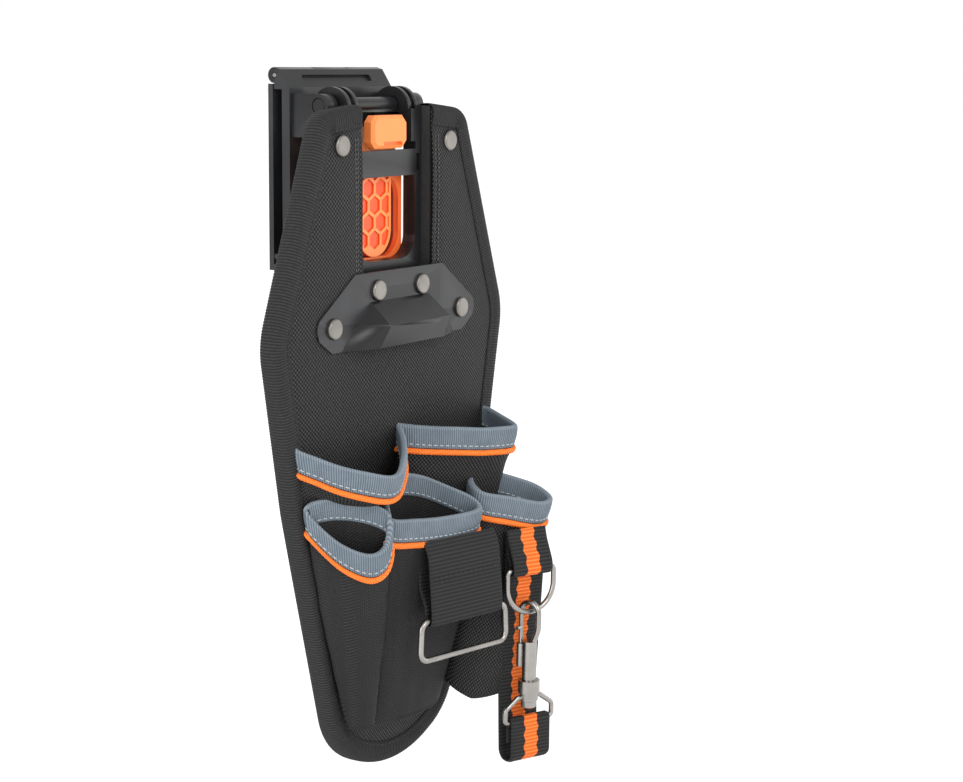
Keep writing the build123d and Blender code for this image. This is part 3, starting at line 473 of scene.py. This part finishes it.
def filleted(corners, radii, closed=False, gap=0.5):
    """Points along straight runs joined by arcs, evenly spaced."""
    corners = [np.array(p, float) for p in corners]
    count = len(corners)
    dense = []
    for i, corner in enumerate(corners):
        if not closed and i in (0, count - 1):
            dense.append(corner)
            continue
        back, ahead = corners[i - 1] - corner, corners[(i + 1) % count] - corner
        back, ahead = back / np.linalg.norm(back), ahead / np.linalg.norm(ahead)
        half = math.acos(np.clip(back @ ahead, -1, 1)) / 2
        radius = radii[i if closed else i - 1]
        reach = radius / math.tan(half)
        middle = corner + (back + ahead) / np.linalg.norm(back + ahead) * radius / math.sin(half)
        start, end = corner + back * reach - middle, corner + ahead * reach - middle
        sweep = math.pi - 2 * half
        for t in np.linspace(0, 1, max(3, int(radius * sweep / gap))):
            dense.append(middle + (start * math.sin((1 - t) * sweep) + end * math.sin(t * sweep)) / math.sin(sweep))
    if closed:
        dense.append(dense[0])
    return evenly(np.array(dense), gap)


def evenly(path, gap):
    """The same path with evenly spaced points."""
    far = np.concatenate([[0], np.cumsum(np.linalg.norm(np.diff(path, axis=0), axis=1))])
    at = np.linspace(0, far[-1], max(2, int(round(far[-1] / gap)) + 1))
    return np.stack([np.interp(at, far, path[:, k]) for k in range(path.shape[1])], 1)


def along(path):
    """Distance from the path's start to each point."""
    return np.concatenate([[0], np.cumsum(np.linalg.norm(np.diff(path, axis=0), axis=1))])


def sideways(path):
    """Unit normals of a plane path, to its right."""
    d = np.gradient(path, axis=0)
    d /= np.linalg.norm(d, axis=1)[:, None]
    return np.stack([d[:, 1], -d[:, 0]], 1)


def closed_curve(points, count):
    """A smooth closed curve through a plan's points, one parameter step per point."""
    points = np.array(points, float)
    n = len(points)
    t = np.arange(count) / count * n
    i, f = t.astype(int), (t % 1)[:, None]
    p0, p1, p2, p3 = [points[(i + k) % n] for k in (-1, 0, 1, 2)]
    return p1 + 0.5 * f * (p2 - p0 + f * (2 * p0 - 5 * p1 + 4 * p2 - p3 + f * (3 * (p1 - p2) + p3 - p0)))


def stitches(name, paths, material, length=2.4, gap=1.1, radius=0.28, body="pouch"):
    """Rows of thread stitches along 3-D paths; each path is (points, outward normals)."""
    parts = []
    ring = np.linspace(0, TURN, 7)[:-1]
    for points, normals in paths:
        far = along(points)
        begins = np.arange(0.6, far[-1] - length, length + gap)
        for begin in begins:
            at = begin + np.array([0, 0.12, 0.5, 0.88, 1.0]) * length
            sink = np.array([-1.0, 0.1, 0.45, 0.1, -1.0]) * radius
            size = np.array([0.35, 0.9, 1.0, 0.9, 0.35]) * radius
            centre = np.stack([np.interp(at, far, points[:, k]) for k in range(3)], 1)
            out = np.stack([np.interp(at, far, normals[:, k]) for k in range(3)], 1)
            run = np.gradient(centre, axis=0)
            side = np.cross(run, out)
            side /= np.linalg.norm(side, axis=1)[:, None] + 1e-9
            centre = centre + out * sink[:, None]
            tube = (centre[:, None] + side[:, None] * (np.cos(ring)[None, :, None] * size[:, None, None] * 1.25)
                    + out[:, None] * (np.sin(ring)[None, :, None] * size[:, None, None]))
            cloth = np.stack(np.meshgrid(at - begin, np.linspace(0, 2, 7), indexing="ij"), -1)
            parts.append((tube, cloth))
    return joined(name, parts, material, body)


# ==== padded panel and its binding ====================================================================
def panel_outline(inset=0.0):
    """Corners and radii of the panel's outline, clockwise from the notch's right side, moved inward."""
    corners = outline_corners + [(-x, z) for x, z in reversed(outline_corners[:-1])]
    radii = outline_radii + outline_radii[-2::-1]
    points = [np.array(p, float) for p in corners]
    moved = []
    for i, p in enumerate(points):
        a, b = p - points[i - 1], points[(i + 1) % len(points)] - p
        n1, n2 = [np.array([v[1], -v[0]]) / np.linalg.norm(v) for v in (a, b)]
        moved.append(p + (n1 + n2) * inset / (1 + n1 @ n2))
    return moved, [max(r - inset, 1.5) for r in radii]


def edge_distance(points, outline):
    """Distance of plane points from a dense outline."""
    return np.sqrt(((points[:, None] - outline[None]) ** 2).sum(2).min(1))


def pillow(x, z, edge):
    """How far the padded front stands out at a place, given the distance from the panel's edge."""
    inner = edge - binding_width
    crown = 1.5 * (1 - np.exp(-np.clip(inner, 0, None) / 9.0))
    beside = np.exp(-((np.abs(x) - notch_half - 3.4) / 2.2) ** 2) * (z > notch_bottom - 2)
    under = np.exp(-((z - notch_bottom + 3.0) / 2.4) ** 2) * (np.abs(x) < notch_half + 3)
    pressed = sum(np.exp(-(((np.abs(x) - rx) ** 2 + (z - rz) ** 2) / 90.0) ** 2) for rx, rz in rivet_places)
    slack = 0.45 * swell(x, z, 52.0, 1.3) * np.clip(inner / 20, 0, 1)
    return (crown * (1 - 0.75 * np.maximum(beside, under)) + slack) * (1 - 0.85 * pressed)


def padded_face(name, node, back):
    """One cloth face of the padded panel, flat at its edges under the binding and given a thickness."""
    corners, radii = panel_outline(1.2)
    rim = filleted(corners, radii, closed=True, gap=3.0)[:-1]
    ring = np.array([(x, z) for x, z in rim if abs(x) >= notch_half or z < notch_bottom])
    start = next(i for i in range(len(ring)) if ring[i][0] > 0 and ring[i - 1][0] < 0 and ring[i][1] > 0)
    ring = np.roll(ring, -start, axis=0)
    top = ring[0][1]
    side = [(notch_half, z) for z in np.linspace(notch_bottom, top, 26)]
    base = [(x, notch_bottom) for x in np.linspace(-notch_half, notch_half, 18)[1:-1]]
    left = [(-notch_half, z) for z in np.linspace(top, notch_bottom, 26)]
    ring = np.array(list(map(tuple, ring)) + left + base + side)
    xs, zs = np.meshgrid(np.arange(-98, 99, face_grid), np.arange(-336, 18, face_grid))
    odd_rows = np.indices(xs.shape)[0].ravel() % 2
    inner = np.stack([xs.ravel() + face_grid / 2 * odd_rows, zs.ravel()], 1)
    outline = filleted(*panel_outline(0), closed=True, gap=1.5)
    inner = inner[edge_distance(inner, ring) > 1.8]
    count = len(ring)
    vertices, _, triangles, *_ = delaunay_2d_cdt(
        [Vector(p) for p in np.concatenate([ring, inner])], [],
        [list(range(count))[::-1]], 1, 1e-4)
    flat = np.array([tuple(v) for v in vertices])
    edge = edge_distance(flat, outline)
    out = pillow(flat[:, 0], flat[:, 1], edge)
    y = panel_back_y + out * 0.7 if back else -out
    points = np.stack([flat[:, 0], y, flat[:, 1]], 1)
    mesh = bpy.data.meshes.new(name)
    faces = [list(t) for t in triangles]
    area = sum((flat[f[1]] - flat[f[0]])[0] * (flat[f[2]] - flat[f[0]])[1]
               - (flat[f[1]] - flat[f[0]])[1] * (flat[f[2]] - flat[f[0]])[0] for f in faces)
    if (area > 0) == back:
        faces = [f[::-1] for f in faces]
    mesh.from_pydata((points * MM + datum).tolist(), [], faces)
    layer = mesh.uv_layers.new(name="cloth")
    loops = np.zeros(len(mesh.loops), int)
    mesh.loops.foreach_get("vertex_index", loops)
    layer.uv.foreach_set("vector", flat[loops].astype(np.float32).ravel())
    piece = finished(name, mesh, "ballistic", "pouch")
    thick = piece.modifiers.new("cloth", "SOLIDIFY")
    thick.thickness, thick.offset = 0.6 * MM, -1
    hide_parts(node)
    return piece


def edge_binding():
    """Ribbed tape wrapped round the panel's edge, open at the notch."""
    gap = binding_rib / 4
    path = filleted(*panel_outline(0), closed=True, gap=gap)[:-1]
    over_notch = (np.abs(path[:, 0]) < notch_half) & (path[:, 1] > 0)
    begin = next(i for i in range(len(path)) if over_notch[i - 1] and not over_notch[i])
    path = np.roll(path, -begin, axis=0)[:-int(over_notch.sum())]
    out = -sideways(path)
    far = along(path)
    thick = panel_back_y
    w = binding_width
    profile = np.array([
        (w - 0.6, 0.2), (w, -0.35), (w - 0.5, -0.75), (w - 1.6, -0.55), (w - 3.2, -0.95), (w - 5.5, -1.45),
        (w - 8.2, -1.3), (0.4, -0.6), (-0.75, 0.9), (-1.15, thick * 0.3), (-1.2, thick * 0.55), (-1.1, thick * 0.75),
        (-0.6, thick - 0.4), (0.6, thick + 0.7), (3.0, thick + 1.15), (6.0, thick + 1.0), (w - 1.5, thick + 0.7),
        (w, thick + 0.5), (w - 0.6, thick - 0.2)])
    profile = evenly(profile, 0.9)
    normal = sideways(profile)
    rib = 0.16 * np.cos(TURN * far / binding_rib)
    slack = 0.35 * swell(far, far * 0.31, 70.0, 2.0)
    depth = profile[:, 0][:, None] - normal[:, 0][:, None] * -rib[None]
    y = profile[:, 1][:, None] + normal[:, 1][:, None] * rib[None]
    soft = np.clip(1 - np.abs(profile[:, 0] - 4.5) / 5, 0, 1)[:, None] * slack[None]
    y = y - np.where(profile[:, 1][:, None] < thick / 2, soft, -soft * 0.6)
    x = path[None, :, 0] - out[None, :, 0] * depth
    z = path[None, :, 1] - out[None, :, 1] * depth
    points = np.stack([x, y, z], -1)
    cloth = np.stack(np.broadcast_arrays(far[None], along(profile)[:, None]), -1)
    piece = grid_piece("edge_binding", points, cloth, "binding")
    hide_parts("panel_binding")
    seam, seam_out = path - out * (w - 1.7), np.tile([0.0, -1.0, 0.0], (len(path), 1))
    line = np.stack([seam[:, 0], np.full(len(seam), -0.62), seam[:, 1]], 1)
    stitches("binding_stitches", [(line, seam_out)], "dark_thread", radius=0.3)


def frame_stitches():
    """Bar tacks beside the hanger frame and the zigzag below it."""
    rows = []
    for side in (-1, 1):
        for place in (3.0, 5.2):
            z = np.linspace(4, notch_bottom + 2, 120)
            x = np.full_like(z, side * (notch_half + place)) + 0.15 * np.sin(z)
            rows.append((x, z))
    t = np.linspace(0, 1, 400)
    zigzag = 2 * np.abs(((t * 21) % 1) - 0.5) - 0.5
    rows.append(((t - 0.5) * 2 * (notch_half - 1), notch_bottom - 2.6 + 1.5 * zigzag))
    paths = []
    outline = filleted(*panel_outline(0), closed=True, gap=2.0)
    for x, z in rows:
        edge = edge_distance(np.stack([x, z], 1), outline)
        y = -pillow(x, z, edge) - 0.12
        paths.append((np.stack([x, y, z], 1), np.tile([0.0, -1.0, 0.0], (len(x), 1))))
    stitches("frame_stitches", paths, "grey_thread", length=1.9, gap=0.45, radius=0.32)


# ==== pockets =========================================================================================
class Wall:
    """A pocket's wall: columns run round it and a drop is measured down from its rim."""

    def __init__(self, name, columns):
        plan = pocket_plans[name]
        self.top = closed_curve(plan["rim"], columns)
        self.base = closed_curve(plan["floor"], columns)
        self.floor_z = plan["floor_z"]
        self.tuck = plan.get("tuck", 0.0)
        self.puff = plan.get("puff", 1.6)
        self.seed = len(name) + plan["rim"][0][0] * 0.13
        a, b, c = [np.array(p, float) for p in plan["mouth"]]
        normal = np.cross(b - a, c - a)
        middle = (a[2] + b[2] + c[2]) / 3
        slope = (self.top - self.base) / (middle - self.floor_z)
        flat = self.base @ normal[:2] - self.floor_z * (slope @ normal[:2])
        self.rim_z = (normal @ a - flat) / (normal[2] + slope @ normal[:2])
        self.slope = slope
        ring = np.roll(self.top, -1, 0) - np.roll(self.top, 1, 0)
        self.out = np.stack([ring[:, 1], -ring[:, 0]], 1) / np.linalg.norm(ring, axis=1)[:, None]
        rim = self.base + slope * (self.rim_z - self.floor_z)[:, None]
        steps = np.linalg.norm(np.roll(rim, -1, 0) - rim, axis=1)
        self.far = np.concatenate([[0], np.cumsum(steps)])

    def at(self, drop, out):
        """Points of one row, a distance below the rim and a distance outward."""
        z = self.rim_z - drop
        height = np.clip((self.rim_z - z) / (self.rim_z - self.floor_z), 0, 1)
        plan = self.base + self.slope * (z - self.floor_z)[:, None]
        far = self.far[:-1]
        puff = self.puff * np.sin(math.pi * height ** 0.8)
        crease = (0.9 * swell(far, z * 0.35, 46.0, self.seed) + 0.35 * swell(far, z, 19.0, self.seed + 2)) * (
            0.25 + 0.75 * np.sin(math.pi * height))
        ripple = 0.5 * swell(far, far * 0.4, 34.0, self.seed + 5)
        plan = plan + self.out * (out + puff + crease)[:, None]
        below = np.clip(drop - hem_height - piping_size, 0, None)
        plan[:, 1] *= 1 - self.tuck * (1 - np.exp(-below / 5.0))
        return np.stack([plan[:, 0], plan[:, 1], z + ripple * np.exp(-drop / 30)], 1)


def pocket_cloth(name):
    """Outer and inner cloth of one pocket with a rounded, closed bottom."""
    wall = Wall(name, cloth_columns)
    depth = float(np.mean(wall.rim_z) - wall.floor_z)
    drops = np.concatenate([np.linspace(2.0, 14.0, 7), np.linspace(18.0, depth - 2.0, 30)])
    outer = [wall.at(np.minimum(d, wall.rim_z - wall.floor_z), 0.0) for d in drops]
    inner = [wall.at(np.minimum(d, wall.rim_z - wall.floor_z - 1), -cloth_thick) for d in drops]
    last = outer[-1]
    centre = last.mean(0)
    closing = [centre + (last - centre) * share + [0, 0, -sink] for share, sink in
               ((0.96, 1.3), (0.85, 2.2), (0.6, 2.6), (0.3, 2.7), (0.03, 2.7))]
    inner_last = inner[-1]
    opening = [centre + (inner_last - centre) * share for share in (0.03, 0.5, 0.9)]
    rows = np.array(opening + inner[::-1] + outer + closing)
    length = np.array([np.linalg.norm(np.diff(rows[:, k], axis=0), axis=1) for k in range(0, cloth_columns, 8)]
                      ).mean(0)
    across = -np.concatenate([[0], np.cumsum(length)])
    across -= across[len(opening) + len(inner) - 1]
    cloth = np.stack(np.broadcast_arrays(wall.far[None], across[:, None]), -1)
    material = pocket_plans[name]["cloth"]
    piece = grid_piece(f"{name}_cloth", rows[:, ::-1], cloth[:, ::-1], material, wrap_along=True)
    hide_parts(f"{name}_pocket")


def pocket_hem(name):
    """Ribbed tape folded over the pocket's rim, with its row of stitches."""
    rough = Wall(name, rough_columns)
    columns = int(round(rough.far[-1] / hem_rib)) * 4
    wall = Wall(name, columns)
    outer, inner = hem_thick, -cloth_thick - hem_thick
    profile = np.array([
        (hem_height, 0.1), (hem_height + 0.15, 0.55), (hem_height - 0.4, outer),
        (hem_height - 2.0, outer * 0.8), (hem_height - 4.0, outer * 1.15), (5.5, outer * 1.35),
        (2.5, outer * 1.3), (0.6, outer), (-0.35, outer * 0.35),
        (-0.7, (outer + inner) / 2), (-0.4, inner * 0.85), (0.5, inner), (3.0, inner * 1.05), (6.0, inner),
        (hem_height - 1.0, inner), (hem_height, inner * 0.7), (hem_height - 0.2, -cloth_thick * 0.9)])
    profile = evenly(profile, 0.85)
    normal = sideways(profile)
    rib = 0.13 * np.cos(TURN * wall.far[:-1] / hem_rib)
    ribbed = np.concatenate([wall.out * rib[:, None], np.zeros((columns, 1))], 1)
    rows = np.array([wall.at(drop, out) + (ribbed if k < len(profile) / 2 else -ribbed)
                     for k, (drop, out) in enumerate(profile)])
    cloth = np.stack(np.broadcast_arrays(wall.far[None], profile[:, 0][:, None]), -1)
    piece = grid_piece(f"{name}_binding", rows, cloth, "hem", wrap_along=True)
    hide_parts(f"{name}_hem")
    line = wall.at(np.full(columns, hem_height - 2.0), np.full(columns, outer * 0.8 + 0.1))
    out = np.concatenate([wall.out, np.zeros((columns, 1))], 1)
    closed = [np.concatenate([a, a[:1]]) for a in (line, out)]
    inside = wall.at(np.full(columns, hem_height - 2.0), np.full(columns, inner - 0.1))
    lining = [np.concatenate([a, a[:1]]) for a in (inside, -out)]
    stitches(f"{name}_stitches", [closed, lining], "pale_thread", radius=0.26)


def pocket_piping(name):
    """Twilled cord that shows under the hem."""
    rough = Wall(name, rough_columns)
    columns = int(round(rough.far[-1] / 0.4))
    wall = Wall(name, columns)
    turn = np.linspace(0, TURN, 15)[:-1]
    radius = piping_size / 2
    rows = []
    for angle in turn:
        ridge = 1 + 0.07 * np.sin(TURN * wall.far[:-1] / 1.5 + 2 * angle)
        rows.append(wall.at(
            hem_height + radius + 0.1 - np.sin(angle) * radius * ridge * 0.98,
            0.6 + np.cos(angle) * (radius - 0.1) * ridge))
    cloth = np.stack(np.broadcast_arrays(wall.far[None], np.linspace(0, TURN * radius, 15)[:, None]), -1)
    piece = grid_piece(
        f"{name}_cord", np.array(rows)[::-1], cloth[::-1], "piping", wrap_along=True, wrap_across=True)
    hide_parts(f"{name}_piping")


# ==== webbing =========================================================================================
def strap(name, place, turn, width, path, material, node, thick=webbing_thick):
    """Webbing that follows a path drawn in (outward, up) across a pocket's front."""
    angle = math.radians(turn)
    side, face = np.array([math.cos(angle), -math.sin(angle), 0]), np.array([-math.sin(angle), -math.cos(angle), 0])
    normal = sideways(path)
    far = along(path)
    rib = 0.13 * np.cos(TURN * far / webbing_rib)
    across = np.linspace(-width / 2, width / 2, int(width / 1.1))
    edge = np.clip((width / 2 - np.abs(across)) / 0.8, 0, 1) ** 0.5
    sides = []
    for sign in (1, -1):
        lift = sign * (thick / 2 * (0.35 + 0.65 * edge)[:, None] + rib[None] * edge[:, None])
        flat = path[None] + normal[None] * lift[..., None]
        slack = 0.22 * swell(across[:, None], far[None], 60.0, 3.0)
        flat = flat + normal[None] * slack[..., None]
        sides.append(np.array(place) + across[:, None, None] * side
                     + flat[..., 0:1] * face + flat[..., 1:2] * np.array([0, 0, 1.0]))
    rows = np.concatenate([sides[0], sides[1][::-1]])
    where = np.concatenate([across, across[::-1], across[:1]])
    cloth = np.stack(np.broadcast_arrays(far[None], where[:, None]), -1)
    piece = grid_piece(name, rows, cloth, material, wrap_across=True)
    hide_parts(node)
    return side, face, np.array(place, float)


def across_stitches(name, basis, path, at, width, material, lift):
    """Two rows of stitches across a strap at a distance along its path."""
    side, face, place = basis
    normal = sideways(path)
    far = along(path)
    rows = []
    for distance in at:
        k = int(np.argmin(np.abs(far - distance)))
        spot = path[k] + normal[k] * lift
        out = normal[k][0] * face + normal[k][1] * np.array([0, 0, 1.0])
        if lift < 0:
            out = -out
        across = np.linspace(-width / 2 + 1.5, width / 2 - 1.5, 60)
        line = place + across[:, None] * side + spot[0] * face + spot[1] * np.array([0, 0, 1.0])
        rows.append((line, np.tile(out, (60, 1))))
    stitches(name, rows, material, radius=0.26)


def bail_strap():
    """Broad black webbing from under the middle pocket's hem, round the bail's bar and back up."""
    bar = webbing_thick + 0.4 + bail_wire
    turn = bail_wire + 0.4 + webbing_thick / 2
    path = filleted(
        [(-1.0, 41.0), (bar - 0.4, 34.0), (bar + 1.6, 16.0), (bar + turn, 4.0), (bar + turn, -turn),
         (bar - turn, -turn), (bar - turn, 6.0), (-4.2, 16.0), (-4.6, 36.0)],
        [16.0, 40.0, 10.0, turn - 0.02, turn - 0.02, 3.0, 4.0], gap=0.5)
    basis = strap("bail_webbing_strap", bail_place, bail_turn, bail_webbing_width, path,
                  "black_webbing", "bail_webbing")
    across_stitches("bail_webbing_stitches", basis, path, (19.5, 21.8), bail_webbing_width, "dark_thread",
                    -webbing_thick / 2 - 0.16)


def tab_strap():
    """Short striped tab that holds the ring."""
    turn = ring_wire + 0.4 + (webbing_thick - 0.2) / 2
    path = filleted(
        [(1.6, tab_height + 2.5), (3.6, tab_height - 4.0), (ring_out + turn, 3.5), (ring_out + turn, -turn),
         (ring_out - turn, -turn), (ring_out - turn, 3.0), (2.2, 9.0), (1.6, tab_height - 2.0)],
        [8.0, 9.0, turn - 0.02, turn - 0.02, 2.0, 4.0], gap=0.4)
    strap("ring_tab_strap", strap_place, strap_turn, strap_width, path,
          "striped_webbing", "ring_tab", thick=webbing_thick - 0.2)


def long_strap():
    """Striped strap from under the tab, down behind the snap hook and folded up to the swivel eye."""
    height = strap_place[2]
    low, eye = strap_loop_z - height, eye_z - height
    path = filleted(
        [(webbing_thick / 2, tab_height + 2), (webbing_thick / 2, 3), (-5.0, -63), (-3.2, low),
         (ring_out + 2.35, low), (ring_out + 2.35, eye + 2.35), (ring_out - 2.35, eye + 2.35),
         (ring_out - 2.35, eye - 12)],
        [60, 80, 5.5, 5.5, 2.3, 2.3], gap=0.5)
    basis = strap("snap_hook_strap", strap_place, strap_turn, strap_width, path,
                  "striped_webbing", "striped_strap")
    end = float(along(path)[-1])
    across_stitches("snap_hook_strap_stitches", basis, path, (end - 26.5,), strap_width, "dark_thread",
                    -webbing_thick / 2 - 0.14)


# ==== plastic and metal ===============================================================================
def dress(node, material, bevel=0.0):
    """A better finish for a piece of the frame, with its sharp edges broken."""
    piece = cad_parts[node]
    piece.data.materials.clear()
    piece.data.materials.append(materials[material])
    if bevel:
        weld = piece.modifiers.new("weld", "WELD")
        weld.merge_threshold = 0.00002
        edge = piece.modifiers.new("edge", "BEVEL")
        edge.width, edge.segments, edge.limit_method = bevel * MM, 2, "ANGLE"
        edge.angle_limit = math.radians(32)
        edge.use_clamp_overlap = True
        edge.harden_normals = True


for face_name, face_node, is_back in (
    ("padded_front", "panel_front_cover", False), ("padded_back", "panel_back_cover", True),
):
    padded_face(face_name, face_node, is_back)
edge_binding()
frame_stitches()
for pocket in pocket_plans:
    pocket_cloth(pocket)
    pocket_hem(pocket)
    pocket_piping(pocket)
bail_strap()
tab_strap()
long_strap()

dress("panel_foam", "foam")
for node in ("clip_front_plate", "clip_rear_leaf", "hook_bar", "hanger_frame", "deflector_plate"):
    dress(node, "plastic", plastic_edge)
dress("release_lever", "orange", lever_edge)
for node in ("hanger_rivets", "deflector_inner_rivets", "deflector_outer_rivets", "hanger_washers",
             "deflector_washers"):
    dress(node, "rivet")
for node in ("clip_hinge_pin", "lever_pin", "wire_bail", "d_ring", "snap_hook", "snap_plunger", "swivel_eye"):
    dress(node, "steel")


# ==== studio ==========================================================================================
def studio():
    """Flat pale floor, white surroundings, soft lights and the camera."""
    low = cad_box[0].z - 0.02
    shade = Shade("studio_paper", Roughness=0.9)
    shade.surface.inputs["Base Color"].default_value = (0.9, 0.9, 0.9, 1)
    shade.surface.inputs["Emission Color"].default_value = (1, 1, 1, 1)
    shade.surface.inputs["Emission Strength"].default_value = 0.2
    mesh = bpy.data.meshes.new("studio_floor")
    size = 14.0
    square = [(-size, -size, low), (size, -size, low), (size, size, low), (-size, size, low)]
    mesh.from_pydata(square, [], [(0, 1, 2, 3)])
    mesh.materials.append(shade.material)
    floor = bpy.data.objects.new("studio_floor", mesh)
    bpy.context.scene.collection.objects.link(floor)

    world = bpy.data.worlds.new("studio_air")
    world.use_nodes = True
    world.node_tree.nodes["Background"].inputs[0].default_value = (1, 1, 1, 1)
    world.node_tree.nodes["Background"].inputs[1].default_value = 1.0
    bpy.context.scene.world = world
    bpy.context.scene.view_settings.view_transform = "Standard"

    camera_data = bpy.data.cameras.new("camera")
    camera_data.lens, camera_data.sensor_width = 72.0, 36.0
    camera = bpy.data.objects.new("camera", camera_data)
    bpy.context.scene.collection.objects.link(camera)
    camera.location = (-0.8049, -0.6399, 0.0184)
    ahead, down, lean = math.radians(33.946), math.radians(9.911), math.radians(0.618)
    look = Vector((math.cos(down) * math.cos(ahead), math.cos(down) * math.sin(ahead), -math.sin(down)))
    level = look.to_track_quat("-Z", "Y")
    camera.rotation_euler = (level @ Quaternion((0, 0, 1), lean)).to_euler()
    bpy.context.scene.camera = camera

    centre = (cad_box[0] + cad_box[1]) / 2
    for name, where, power, spread in (
        ("key", (-0.55, -1.25, 0.75), 9.0, 0.7),
        ("left", (-1.35, 0.10, 0.25), 7.0, 0.8),
        ("right", (1.1, -0.9, 0.2), 3.0, 0.9),
        ("back", (0.3, 1.3, 0.8), 4.0, 0.9),
    ):
        data = bpy.data.lights.new(name, "AREA")
        data.energy, data.size = power, spread
        lamp = bpy.data.objects.new(name, data)
        bpy.context.scene.collection.objects.link(lamp)
        lamp.location = centre + Vector(where)
        lamp.rotation_euler = (centre - lamp.location).to_track_quat("-Z", "Y").to_euler()


studio()
bpy.context.view_layer.update()
